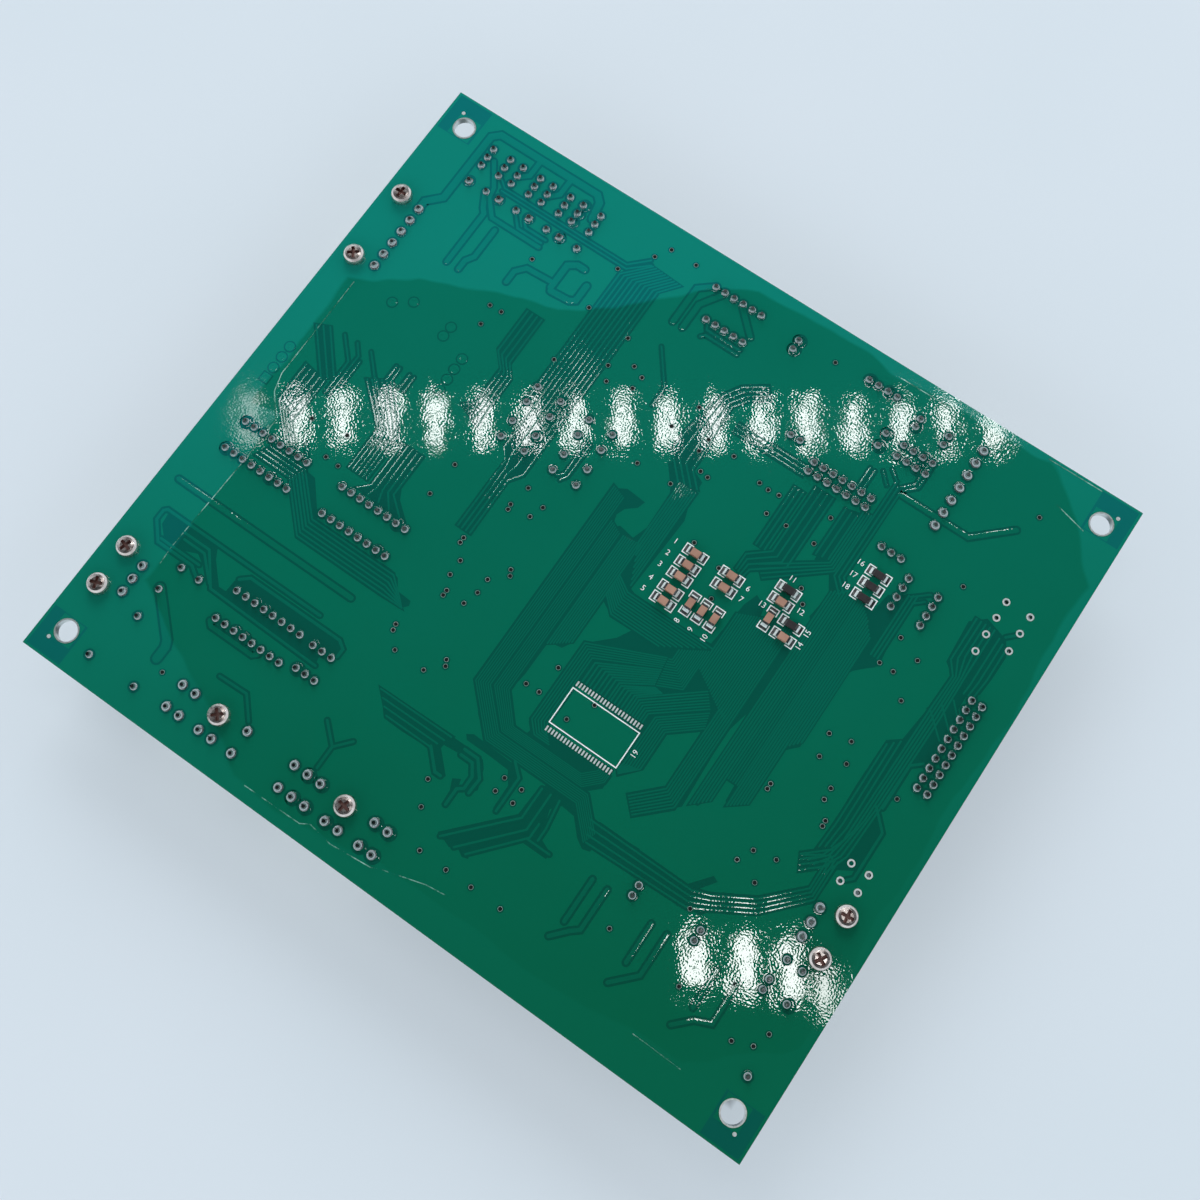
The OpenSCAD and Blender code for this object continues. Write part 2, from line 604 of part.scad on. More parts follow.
module switch_covers() color(nickel) under_board() for (s = switch_at) translate([s.x, s.y, switch_h])
    difference() {
        linear_extrude(cover_t) bevelled(switch_w, switch_w, switch_w / 15);
        translate([0, 0, -cut]) cylinder(h = cover_t + 2 * cut, d = stem_d + 2 * button_play);
    }
module switch_domes() color(nickel) under_board() for (s = switch_at) translate([s.x, s.y, pocket_floor])
    rotate_extrude() polygon([[0, dome_h - dome_t], [flange_d * 0.2, (dome_h - dome_t) * 0.88],
        [flange_d * 0.35, (dome_h - dome_t) * 0.5], [flange_d * 0.45, 0], [flange_d * 0.48, 0],
        [flange_d * 0.38, dome_h * 0.6], [flange_d * 0.22, dome_h * 0.92], [0, dome_h]]);
terminal_t = 0.3;
terminal_w = 0.7;
terminal_h = switch_h * 0.4;
module switch_terminals() color(tin) under_board() for (s = switch_at, a = [0, 180], y = [-1, 1])
    placed(s, a) translate([0, y * terminal_span_y / 2, 0]) along_y(terminal_w)
        polygon([[switch_w / 2, terminal_h], [(terminal_span_x + terminal_t) / 2, terminal_h],
            [(terminal_span_x + terminal_t) / 2, 0], [(terminal_span_x - terminal_t) / 2, 0],
            [(terminal_span_x - terminal_t) / 2, terminal_h - terminal_t],
            [switch_w / 2, terminal_h - terminal_t]]);

// Moulded chip: drafted sides all round, parted at the height of its leads
module moulding(l, w, low, top) {
    mid = (low + top) / 2;
    draft = (top - low) * 0.05;
    intersection() {
        along_y(2 * w) drafted(l, low, mid, top, draft);
        rotate(90) along_y(2 * l) drafted(w, low, mid, top, draft);
    }
}
module drafted(w, low, mid, top, draft) polygon([[-w / 2 + draft, low], [w / 2 - draft, low], [w / 2, mid],
    [w / 2 - draft, top], [-w / 2 + draft, top], [-w / 2, mid]]);
chip_mid = (chip_gap + chip_top) / 2;
module through_chip(at, n, a) color(black) under_board() placed(at, a) difference() {
    l = (n - 1) * pitch + 2 * chip_margin;
    moulding(l, chip_w, chip_gap, chip_top);
    translate([-l / 2, 0, chip_top - chip_w / 12]) cylinder(h = cut, d = chip_w / 4);
}
module driver_chip(i) through_chip(driver_at[i], driver_count, 0);
module small_chip() through_chip(small_chip_at, small_chip_count, 90);
module lead_row(at, n, a) placed(at, a) for (x = spread(n, pitch), s = [0, 180]) translate([x, 0, 0])
    rotate(s + 90) along_y(chip_lead_w) polygon([[chip_w / 2, chip_mid - chip_lead_t / 2],
        [(chip_rows - chip_lead_t) / 2, chip_mid - chip_lead_t / 2], [(chip_rows - chip_lead_t) / 2, 0],
        [(chip_rows + chip_lead_t) / 2, 0], [(chip_rows + chip_lead_t) / 2, chip_mid + chip_lead_t / 2],
        [chip_w / 2, chip_mid + chip_lead_t / 2]]);
module chip_leads() color(tin) under_board() {
    for (d = driver_at) lead_row(d, driver_count, 0);
    lead_row(small_chip_at, small_chip_count, 90);
}

// Potted module and small transformer, both seated on the board
module power_module() color(black) under_board() placed(module_at, 0) difference() {
    linear_extrude(module_h) bevelled(module_l, module_w, module_w / 20);
    translate([-module_l / 2 + module_w / 6, -module_w / 2 + module_w / 6, module_h - module_w / 30])
        cylinder(h = cut, d = module_w / 8);
}
coil_w = coil_rows + 1.2 * coil_margin;
coil_base_h = coil_h * 0.3;
module pulse_transformer() color([0.16, 0.15, 0.14]) under_board() placed(coil_at, 0) {
    linear_extrude(coil_base_h) bevelled(coil_l, coil_w, coil_w / 16);
    linear_extrude(coil_h) bevelled(coil_l - 1, coil_rows * 0.8, coil_rows * 0.2);
    translate([0, 0, coil_h * 0.85]) linear_extrude(coil_h * 0.15) bevelled(coil_l, coil_w - 1, coil_w / 8);
}

// Box header: open box with a keying slot in one long wall, posts through its floor
module box_header(at, n, a) color(black) under_board() placed(at, a) difference() {
    l = (n - 1) * pitch + 2 * box_margin;
    linear_extrude(box_h) bevelled(l, box_w, box_wall / 3);
    block([0, 0], [l - 2 * box_wall, box_w - 2 * box_wall, box_h], box_floor);
    block([0, -box_w / 2], [key_w, 4 * box_wall, box_h], box_floor);
    for (p = two_rows([0, 0], n, pitch, pitch)) post_hole(p, box_floor);
}
module post_hole(p, h) block(p, [post_w + 2 * post_play, post_w + 2 * post_play, h + 2 * cut], -cut);
module ribbon_header() box_header(ribbon_at, ribbon_count, 90);
module header_posts() color(tin) under_board()
    for (p = concat(ribbon_posts, service_posts, strip_posts)) block(p, [post_w, post_w, post_h]);
// A strip is notched between its posts
module strip(n, step, rows) difference() {
    block([0, 0], [n * step, rows * pitch, strip_h]);
    for (x = spread(n, step), y = spread(rows, pitch)) post_hole([x, y], strip_h);
    for (x = spread(n + 1, step), y = [-1, 1]) translate([x, y * rows * pitch / 2, -cut]) rotate(45)
        block([0, 0], [pitch / 4, pitch / 4, strip_h + 2 * cut]);
}
module service_header() color(black) under_board() placed(service_at, 0) strip(service_count, pitch, 2);
module post_strips() color(black) under_board() for (s = strips) placed(s, s[4]) strip(s[2], s[3], 1);

// Surface chips on the component side, on gull-wing leads
surface_gap = 0.15;
gull_t = 0.15;
gull_out = 0.45;
gull_foot = 0.75;
gull_len = 1.6;
module gull(side, mid, width) along_y(width) polygon([[side, mid - gull_t / 2],
    [side + gull_out, mid - gull_t / 2],
    [side + gull_len - gull_foot, 0], [side + gull_len, 0], [side + gull_len, gull_t],
    [side + gull_len - gull_foot + gull_t / 2, gull_t], [side + gull_out + gull_t / 2, mid + gull_t / 2],
    [side, mid + gull_t / 2]]);
lead_margin = 1.3;
function lead_count(l, step) = floor((l - 2 * lead_margin) / step) + 1;
module gull_row(n, step, side, mid, a) for (y = spread(n, step), s = [0, 180])
    rotate(a + s) translate([0, y, 0]) gull(side, mid, step * 0.45);
processor_mid = surface_gap + processor_h / 2;
module processor() color(black) under_board() placed(processor_at, 90) difference() {
    moulding(processor_l, processor_w, surface_gap, surface_gap + processor_h);
    translate([lead_margin - processor_l / 2, lead_margin - processor_w / 2,
        surface_gap + processor_h * 0.95]) cylinder(h = cut, d = lead_margin);
}
module processor_leads() color(tin) under_board() placed(processor_at, 90) {
    gull_row(lead_count(processor_w, processor_pitch), processor_pitch, processor_l / 2, processor_mid, 0);
    gull_row(lead_count(processor_l, processor_pitch), processor_pitch, processor_w / 2, processor_mid, 90);
}
memory_mid = surface_gap + memory_h / 2;
module memory(i) color(black) under_board() placed(memory_at[i], 90)
    moulding(memory_l, memory_w, surface_gap, surface_gap + memory_h);
module memory_leads() color(tin) under_board() for (m = memory_at) placed(m, 90)
    gull_row(memory_count, memory_pitch, memory_w / 2, memory_mid, 90);

// Filter capacitor: rolled-in can with a vent disc, on its two wire leads
module filter_capacitor(i) color([0.1, 0.12, 0.2]) under_board() placed(can_at[i], 0) rotate_extrude() {
    r = can_d / 2;
    polygon([[0, can_gap], [r * 0.92, can_gap], [r, can_gap + r * 0.1], [r, can_gap + r * 0.45],
        [r * 0.9, can_gap + r * 0.58], [r, can_gap + r * 0.7], [r, can_h - r * 0.1], [r * 0.9, can_h],
        [r * 0.7, can_h], [r * 0.68, can_h - r * 0.05], [0, can_h - r * 0.05]]);
}
// Surge absorber: a dipped disc that stands on its two leads, which end at its rim
disc_z = disc_foot + disc_d / 2;
module absorber_disc() placed(disc_at, 0) translate([0, 0, disc_z]) rotate([0, 90, 0]) rotate_extrude() {
    r = disc_d / 2;
    t = disc_t / 2;
    polygon([[0, -t], [r * 0.72, -t * 0.9], [r * 0.92, -t * 0.6], [r, -t * 0.2], [r, t * 0.2],
        [r * 0.92, t * 0.6], [r * 0.72, t * 0.9], [0, t]]);
}
module surge_absorber() color([0.13, 0.25, 0.55]) under_board() absorber_disc();
module film_capacitor() color([0.75, 0.55, 0.2]) under_board() placed(film_at, 0)
    linear_extrude(film_h) bevelled(film_pitch + 2 * film_margin, film_h * 0.45, film_h * 0.06);
axial_z = axial_d / 2 + axial_gap;
module axial_resistor() color([0.75, 0.68, 0.55]) under_board() placed(axial_at, 0) translate([0, 0, axial_z])
    rotate([0, 90, 0]) rotate_extrude() {
        r = axial_d / 2;
        h = axial_l / 2;
        polygon([[0, -h], [r * 0.85, -h], [r, -h + r * 0.2], [r, -h * 0.72], [r * 0.85, -h * 0.6],
            [r * 0.85, h * 0.6], [r, h * 0.72], [r, h - r * 0.2], [r * 0.85, h], [0, h]]);
    }
module wire(at, h) translate([at.x, at.y, 0]) cylinder(h = h, d = wire_d);
module wire_leads() color(tin) under_board() {
    for (c = can_at, p = row_points(c, 2, can_pitch, c[2])) wire(p, can_gap);
    difference() {
        for (p = row_points(disc_at, 2, disc_pitch, 90)) wire(p, disc_z);
        absorber_disc();
    }
    for (a = [0, 180]) placed(axial_at, a) {
        wire([axial_pitch / 2, 0], axial_z);
        translate([axial_pitch / 2, 0, axial_z]) sphere(d = wire_d);
        translate([axial_l / 2, 0, axial_z]) rotate([0, 90, 0])
            cylinder(h = (axial_pitch - axial_l) / 2, d = wire_d);
    }
}

circuit_board();
solder_joints();
tinned_lands();
fixing_screws();
chip_capacitors();
chip_resistors();
chip_inductor();
chip_terminations();
six_way_housing();
six_way_contacts();
left_three_way_housing();
left_three_way_contacts();
right_three_way_housing();
right_three_way_contacts();
supply_housing();
supply_contacts();
output_housing();
output_contacts();
seven_way_housing();
seven_way_contacts();
for (i = [1:4]) {
    signal_relay(i - 1);
    switch_base(i - 1);
    switch_button(i - 1);
    filter_capacitor(i - 1);
}
switch_covers();
switch_domes();
switch_terminals();
for (i = [1:3]) driver_chip(i - 1);
small_chip();
chip_leads();
power_module();
pulse_transformer();
ribbon_header();
service_header();
header_posts();
post_strips();
processor();
processor_leads();
for (i = [1:2]) memory(i - 1);
memory_leads();
surge_absorber();
film_capacitor();
axial_resistor();
wire_leads();
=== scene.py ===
"""Dresses the elevator control board: solder mask and tracks, print, metal, plastics, and its light."""

import json

import bpy
from mathutils import Matrix, Vector
from mathutils.kdtree import KDTree


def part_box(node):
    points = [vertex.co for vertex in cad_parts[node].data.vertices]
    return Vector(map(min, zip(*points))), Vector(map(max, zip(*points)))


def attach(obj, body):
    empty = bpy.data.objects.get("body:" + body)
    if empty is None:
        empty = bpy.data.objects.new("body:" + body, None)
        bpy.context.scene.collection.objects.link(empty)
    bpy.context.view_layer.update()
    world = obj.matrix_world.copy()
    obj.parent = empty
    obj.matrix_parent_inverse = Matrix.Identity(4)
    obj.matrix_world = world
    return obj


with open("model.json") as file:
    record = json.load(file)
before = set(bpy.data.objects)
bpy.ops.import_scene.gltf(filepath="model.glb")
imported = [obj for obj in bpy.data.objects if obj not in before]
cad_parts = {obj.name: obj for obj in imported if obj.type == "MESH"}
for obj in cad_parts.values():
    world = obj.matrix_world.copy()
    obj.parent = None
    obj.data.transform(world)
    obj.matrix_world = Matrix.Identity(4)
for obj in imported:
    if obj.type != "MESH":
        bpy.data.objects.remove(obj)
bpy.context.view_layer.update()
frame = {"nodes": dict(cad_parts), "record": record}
nodes = frame["nodes"]

MM = 0.001
SOLDER_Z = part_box("circuit_board")[1].z
SCREW_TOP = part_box("fixing_screws")[1].z

# Camera, from the photo's perspective: pixels of its 1200 by 1200 frame, millimetres above the board
PHOTO_SIDE = 1200
FOCAL_PX = 1224.65
CAMERA_AT = Vector((40.41, -48.97, 266.55)) * MM + Vector((0, 0, SOLDER_Z))
LOOK = Vector((-0.12830, 0.16984, -0.97708)).normalized()
UP = Vector((-0.55251, 0.80593, 0.21264)).normalized()
RIGHT = LOOK.cross(UP)

# Heights of what lies on the solder side, then widths: a clearance, and what counts as a dense, fine or broad line;
# all in millimetres
CORNER_RISE = 0.002
ZONE_RISE = 0.0025
LAYER = 0.0002
GAP_RISE = 0.014
RING_RISE = 0.017
TRACK_RISE = 0.019
PRINT_RISE = 0.04
CLEARANCE = 0.5
DENSE = 0.36
FINE = 0.42
BROAD = 0.95
PRINT_LINE = 0.27
QUARTER_TURN = 1.5708


def srgb(r, g, b):
    """A colour as seen on a screen, 0 to 255, as the linear values that shaders take."""
    def linear(v):
        v /= 255
        return v / 12.92 if v <= 0.04045 else ((v + 0.055) / 1.055) ** 2.4
    return linear(r), linear(g), linear(b)


# Colours: solder mask under the clear coat, and bare
COATED_GREEN = srgb(4, 103, 80)
BARE_GREEN = srgb(10, 120, 101)
COATED_GAP = srgb(4, 82, 68)
BARE_GAP = srgb(6, 96, 90)
COATED_LINE = srgb(5, 98, 79)
BARE_LINE = srgb(8, 115, 102)
COATED_TRACK = srgb(4, 99, 77)
BARE_TRACK = srgb(8, 115, 100)
COATED_CORNER = srgb(5, 92, 86)
BARE_CORNER = srgb(8, 104, 98)
# Painted light on the mask: darker and yellower toward the near corner and lighter and bluer toward the far one, as the
# light falls off from far to near; factors on its colour
PAINTED_LIGHT_WAY = (-0.565, 0.825)
PAINTED_SHADE_NEAR = (0.9, 0.82, 0.68)
PAINTED_LIGHT_FAR = (1.25, 1.2, 1.32)
PRINT_WHITE = srgb(236, 242, 240)
TIN = srgb(182, 189, 190)
TIN_DARK = srgb(84, 90, 91)
PAD_WHITE = srgb(222, 228, 226)


# Finishes

class Finish:
    """A material on one Principled shader, with its patterns in object coordinates."""

    def __init__(self, name, colour, roughness, metallic=0.0):
        self.material = bpy.data.materials.new(name)
        self.material.use_nodes = True
        self.tree = self.material.node_tree
        self.shader = self.tree.nodes["Principled BSDF"]
        self.shader.inputs["Base Color"].default_value = (*colour, 1)
        self.shader.inputs["Roughness"].default_value = roughness
        self.shader.inputs["Metallic"].default_value = metallic
        self.place = self.tree.nodes.new("ShaderNodeTexCoord").outputs["Object"]

    def fed(self, socket):
        """What a socket of the shader takes now."""
        return self.shader.inputs[socket].links[0].from_socket

    def link(self, output, node, socket):
        self.tree.links.new(output, node.inputs[socket])

    def node(self, kind, output, settings=None, **values):
        """Adds a node; its sockets are given by name, or as i0, i1 and so on."""
        made = self.tree.nodes.new(kind)
        for key, value in (settings or {}).items():
            setattr(made, key, value)
        for socket, value in values.items():
            socket = made.inputs[int(socket[1:]) if socket[0] == "i" and socket[1:].isdigit() else socket]
            if isinstance(value, bpy.types.NodeSocket):
                self.tree.links.new(value, socket)
            else:
                socket.default_value = value
        return made.outputs[output]

    def grain(self, size, detail=2.0, roughness=0.5):
        """Noise whose features are about size millimetres across."""
        return self.node("ShaderNodeTexNoise", "Fac", Vector=self.place, Scale=1 / (size * MM), Detail=detail,
                         Roughness=roughness)

    def axis(self, letter):
        return self.node("ShaderNodeSeparateXYZ", letter, Vector=self.place)

    def maths(self, operation, a, b):
        return self.node("ShaderNodeMath", "Value", {"operation": operation}, i0=a, i1=b)

    def ranged(self, value, low, high, out_low=0.0, out_high=1.0):
        values = {"From Min": low, "From Max": high, "To Min": out_low, "To Max": out_high, "Value": value}
        return self.node("ShaderNodeMapRange", "Result", None, **values)

    def mixed(self, share, first, second, way="MIX"):
        first, second = [c if isinstance(c, bpy.types.NodeSocket) else (*c, 1) for c in (first, second)]
        return self.node("ShaderNodeMix", 2, {"data_type": "RGBA", "blend_type": way}, i0=share, i6=first, i7=second)

    def colour(self, output):
        self.link(output, self.shader, "Base Color")

    def rough(self, output):
        self.link(output, self.shader, "Roughness")

    def bump(self, height, depth, over=None):
        """Relief of depth millimetres where the height goes from 0 to 1."""
        values = {"Height": height, "Distance": depth * MM}
        if over is not None:
            values["Normal"] = over
        return self.node("ShaderNodeBump", "Normal", None, **values)

    def normal(self, output):
        self.link(output, self.shader, "Normal")

    def clouds(self, size, detail, low, high, first, second):
        """Two colours in clouds of about size millimetres."""
        return self.mixed(self.ranged(self.grain(size, detail), low, high), first, second)

    def uneven(self, size, low, high, least, most):
        """Roughness that varies between least and most."""
        self.rough(self.ranged(self.grain(size), low, high, least, most))

    def relief(self, size, detail, depth):
        self.normal(self.bump(self.grain(size, detail), depth))


def middles(node, above, reach):
    """Middles of a node's separate solids, from their points above a height; reach in millimetres parts them."""
    tips = {(round(v.co.x / MM, 1), round(v.co.y / MM, 1)) for v in nodes[node].data.vertices if v.co.z > above}
    groups = []
    for tip in sorted(tips):
        near = [g for g in groups if abs(g[0][0] - tip[0]) < reach and abs(g[0][1] - tip[1]) < reach]
        near[0].append(tip) if near else groups.append([tip])
    return [(sum(x for x, y in g) / len(g) * MM, sum(y for x, y in g) / len(g) * MM) for g in groups]


# Clear coat, in millimetres: corners of its outline, clockwise, and the corners where the outline turns in; how far its
# edge sways and fades, and the heights between which the board's edge belongs to the bare component side
COAT_CORNERS = [(-88.2, 28), (-74.6, 38.3), (-13.9, 75.3), (-6, 80), (72, 81.8), (84, 73.5), (93, 61), (92.5, -57),
                (75, -74), (-38, -79.6), (-80.6, -56), (-88.4, 5)]
COAT_TURNS = [[(-80.6, -56), (-80.6, -8.5), (-88.4, -8.5)], [(-74.6, 38.3), (-42, 49), (-13.9, 75.3)]]
COAT_SWAY = 1.6
COAT_FADE = 0.4
COMPONENT_SIDE = (15.2, 15.5)
# Grain size and depth of the coat's fine ripple and of its broad swell
RIPPLE = (0.46, 0.0042)
SWELL = (6, 0.024)
# Middle of a corner hole, from the board's middle
HOLE_MIDDLE = (88.5, 75.5)


def beyond(f, a, b):
    """How far a place lies to the left of the line from a to b."""
    along = (Vector(b) - Vector(a)).normalized()
    away = Vector((-along.y, along.x))
    side = f.node("ShaderNodeVectorMath", "Value", {"operation": "DOT_PRODUCT"}, i0=f.place, i1=(*away, 0))
    return f.maths("SUBTRACT", side, away.dot(Vector(a)) * MM)


def outside_coat(f):
    """1 on the bare margin and the component side of the board, and 0 where the clear coat lies."""
    reaches = [f.maths("MINIMUM", beyond(f, a, b), beyond(f, b, c)) for a, b, c in COAT_TURNS]
    reaches += [beyond(f, a, b) for a, b in zip(COAT_CORNERS, COAT_CORNERS[1:] + COAT_CORNERS[:1])]
    reach = reaches[0]
    for other in reaches[1:]:
        reach = f.maths("MAXIMUM", reach, other)
    sway = f.ranged(f.grain(22), 0.3, 0.7, -COAT_SWAY * MM, COAT_SWAY * MM)
    margin = f.ranged(f.maths("ADD", reach, sway), -COAT_FADE * MM, COAT_FADE * MM)
    low, high = COMPONENT_SIDE
    return f.maths("MAXIMUM", margin, f.ranged(f.axis("Z"), low * MM, high * MM, 1, 0))


def mask_finish(name, coated, bare):
    """Green solder mask: deep and glossy under a rippled clear coat, paler and satin where it is bare, with painted
    light that darkens it toward the near corner and lightens it toward the far one.
    """
    f = Finish(name, coated, 0.05)
    along = f.node("ShaderNodeVectorMath", "Value", {"operation": "DOT_PRODUCT"}, i0=f.place, i1=(*PAINTED_LIGHT_WAY, 0))
    # The bare margin shows less toward the near corner: part of the painted light fall-off
    outside = f.maths("MULTIPLY", outside_coat(f), f.ranged(along, -70 * MM, 40 * MM, 0.25, 1))
    cloud = f.ranged(f.grain(35, 3.0), 0.3, 0.7, 0.0, 0.12)
    plain = f.mixed(f.maths("MAXIMUM", outside, cloud), coated, bare)
    # Painted light: darker toward the near corner, lighter toward the far one
    painted_light_falloff = f.mixed(f.ranged(along, -95 * MM, 85 * MM), PAINTED_SHADE_NEAR, PAINTED_LIGHT_FAR)
    f.colour(f.mixed(1.0, plain, painted_light_falloff, "MULTIPLY"))
    f.rough(f.ranged(outside, 0, 1, 0.02, 0.05))
    ripple = f.bump(f.grain(RIPPLE[0], 0.0), RIPPLE[1])
    f.normal(f.bump(f.grain(SWELL[0], 1.0), SWELL[1], over=ripple))
    return f


def from_corner_hole(f):
    """Distance from the axis of the nearest corner hole."""
    away = [f.maths("SUBTRACT", f.maths("ABSOLUTE", f.axis(letter), 0), middle * MM)
            for letter, middle in zip("XY", HOLE_MIDDLE)]
    return f.maths("SQRT", f.maths("ADD", *[f.maths("MULTIPLY", a, a) for a in away]), 0)


def board_finish():
    """The mask of the board, with plated walls in the corner holes."""
    f = mask_finish("board_mask", COATED_GREEN, BARE_GREEN)
    plated = f.ranged(from_corner_hole(f), 2.51 * MM, 2.53 * MM, 1, 0)
    f.colour(f.mixed(plated, f.fed("Base Color"), PAD_WHITE))
    f.rough(f.maths("ADD", f.fed("Roughness"), f.maths("MULTIPLY", plated, 0.3)))
    f.link(plated, f.shader, "Metallic")
    return f.material


def solder_finish():
    """Solder, darker grey at the top of the cut lead."""
    f = Finish("solder", TIN, 0.35, 1.0)
    # The top of each lead is painted darker
    tip = f.ranged(f.axis("Z"), SOLDER_Z + 0.8 * MM, SOLDER_Z + 0.95 * MM)
    f.colour(f.mixed(tip, TIN, TIN_DARK))
    f.uneven(0.5, 0.35, 0.65, 0.22, 0.34)
    f.relief(0.6, 1.0, 0.004)
    return f.material


def fillet_finish():
    """Ends of the chip parts: a painted dark reflection on their flat tops, and pale solder on the slopes."""
    f = Finish("solder_fillet", PAD_WHITE, 0.3)
    up = f.node("ShaderNodeSeparateXYZ", "Z", Vector=f.node("ShaderNodeNewGeometry", "Normal"))
    # Faces that look up are painted dark, as a painted reflection of the dim ceiling
    top = f.ranged(up, 0.85, 0.97)
    painted_dark_reflection = f.clouds(0.5, 2.0, 0.4, 0.7, srgb(64, 66, 68), srgb(104, 106, 106))
    f.colour(f.mixed(top, PAD_WHITE, painted_dark_reflection))
    f.link(f.ranged(top, 0, 1, 0.4, 0.8), f.shader, "Metallic")
    f.uneven(0.6, 0.35, 0.65, 0.26, 0.4)
    f.relief(0.9, 1.0, 0.003)
    return f.material


def land_finish():
    """Tinned pads, pale and flat, and bright rims round the corner holes."""
    f = Finish("tinned_land", PAD_WHITE, 0.35)
    rim = f.ranged(from_corner_hole(f), 3.2 * MM, 3.4 * MM, 1, 0)
    f.colour(f.clouds(0.7, 2.0, 0.4, 0.7, PAD_WHITE, srgb(196, 206, 202)))
    f.link(f.ranged(rim, 0, 1, 0.45, 0.7), f.shader, "Metallic")
    f.rough(f.ranged(rim, 0, 1, 0.4, 0.3))
    f.relief(0.8, 2.0, 0.003)
    return f.material


def tinned_finish():
    """Tinned leads and contacts, a little matt."""
    f = Finish("tinned", srgb(206, 208, 208), 0.3, 1.0)
    f.colour(f.clouds(1.2, 3.0, 0.4, 0.7, srgb(206, 208, 208), srgb(180, 184, 184)))
    f.uneven(0.6, 0.3, 0.7, 0.2, 0.36)
    f.relief(0.6, 2.0, 0.004)
    return f.material


def nickel_finish():
    """Nickel plate on the screws and switch covers, with painted shade in the cross recesses of the screws."""
    f = Finish("nickel", srgb(214, 206, 200), 0.2, 1.0)
    deep = f.ranged(f.axis("Z"), SCREW_TOP - 0.5 * MM, SCREW_TOP - 0.2 * MM, 1, 0)
    middle = 0.0
    for x, y in middles("fixing_screws", SCREW_TOP - 0.4 * MM, 4):
        flat = f.node("ShaderNodeVectorMath", "Vector", {"operation": "MULTIPLY"}, i0=f.place, i1=(1, 1, 0))
        away = f.node("ShaderNodeVectorMath", "Value", {"operation": "DISTANCE"}, i0=flat, i1=(x, y, 0))
        middle = f.maths("MAXIMUM", middle, f.ranged(away, 1.5 * MM, 1.7 * MM, 1, 0))
    plate = f.clouds(1.5, 3.0, 0.4, 0.7, srgb(240, 230, 224), srgb(212, 196, 190))
    # Painted shade: darker, rougher colour down in each screw's cross recess
    recess_shade = f.maths("MULTIPLY", deep, middle)
    f.colour(f.mixed(recess_shade, plate, srgb(172, 136, 130)))
    f.rough(f.maths("ADD", f.ranged(f.grain(0.8, 2.0), 0.3, 0.7, 0.2, 0.34), f.maths("MULTIPLY", recess_shade, 0.25)))
    f.relief(1.2, 1.0, 0.006)
    return f.material


def ridge_finish():
    """Edge of the clear coat: painted glints, pale in broken stretches along the ridge."""
    f = Finish("coat_edge_glint", COATED_GREEN, 0.2)
    f.colour(f.mixed(f.ranged(f.grain(5, 5.0, roughness=0.7), 0.46, 0.62), COATED_GREEN, srgb(140, 190, 176)))
    f.uneven(0.5, 0.3, 0.7, 0.1, 0.3)
    return f.material


def moulded_finish(name, colour, other, roughness, metallic=0.0):
    """Moulded plastic or dipped coating: cloudy colour, and a fine spark-eroded grain."""
    f = Finish(name, colour, roughness, metallic)
    f.colour(f.clouds(5, 3.0, 0.35, 0.7, colour, other))
    f.uneven(1.1, 0.3, 0.7, roughness - 0.06, roughness + 0.08)
    f.relief(0.25, 2.0, 0.008)
    return f.material


def print_finish():
    """White ink, a little thin in places."""
    f = Finish("white_print", PRINT_WHITE, 0.35)
    f.colour(f.clouds(0.5, 2.0, 0.55, 0.8, PRINT_WHITE, srgb(190, 214, 206)))
    return f.material


MASK = mask_finish("mask_over_copper", COATED_GREEN, BARE_GREEN).material
GAP = mask_finish("mask_over_laminate", COATED_GAP, BARE_GAP).material
LINE = mask_finish("mask_over_line", COATED_LINE, BARE_LINE).material
TRACK = mask_finish("mask_over_track", COATED_TRACK, BARE_TRACK).material
CORNER = mask_finish("mask_on_corner", COATED_CORNER, BARE_CORNER).material
SOLDER = solder_finish()
TINNED = tinned_finish()
INK = print_finish()
# Painted glints along the coat's edge
RIDGE_GLINT = ridge_finish()
# Painted shade: a dark disc in each via's hole
HOLE_SHADE = moulded_finish("hole_shade", srgb(6, 16, 14), srgb(10, 22, 20), 0.8)
LAND = land_finish()
VIA_RIM = moulded_finish("via_rim", srgb(140, 160, 152), srgb(104, 132, 122), 0.35, metallic=0.3)
NODE_FINISHES = {"solder_joints": SOLDER, "chip_terminations": fillet_finish(), "tinned_lands": LAND}

# Moulded and dipped slots: colour, the other colour of its clouds, and roughness
MOULDED = {
    "chip_ceramic": ((158, 118, 100), (178, 136, 116), 0.4),
    "chip_black": ((34, 32, 34), (48, 44, 46), 0.4),
    "housing_nylon": ((226, 220, 202), (214, 206, 186), 0.42),
    "relay_plastic": ((40, 42, 46), (50, 52, 56), 0.36),
    "black_moulding": ((30, 31, 33), (40, 41, 43), 0.5),
    "button_plastic": ((26, 26, 28), (36, 36, 38), 0.38),
    "can_sleeve": ((28, 34, 58), (36, 42, 68), 0.3),
    "absorber_coating": ((38, 72, 148), (48, 86, 164), 0.34),
    "film_coating": ((176, 128, 60), (190, 144, 76), 0.36),
    "resistor_coating": ((196, 180, 148), (182, 164, 130), 0.4),
}
SLOT_FINISHES = {
    "board_laminate": board_finish(), "tinned_metal": TINNED, "nickel_steel": nickel_finish(),
    **{slot: moulded_finish(slot, srgb(*one), srgb(*other), rough) for slot, (one, other, rough) in MOULDED.items()},
}


def dress_nodes():
    """Gives every CAD node the finish of its slot."""
    for part in frame["record"]["subparts"]:
        finish = SLOT_FINISHES[part["material_slot"]]
        mesh = nodes[part["node"]].data
        mesh.materials.clear()
        mesh.materials.append(NODE_FINISHES.get(part["node"], finish))


# Drawing on the solder side

def activate(*objects):
    bpy.ops.object.select_all(action="DESELECT")
    for o in objects:
        o.select_set(True)
    bpy.context.view_layer.objects.active = objects[0]


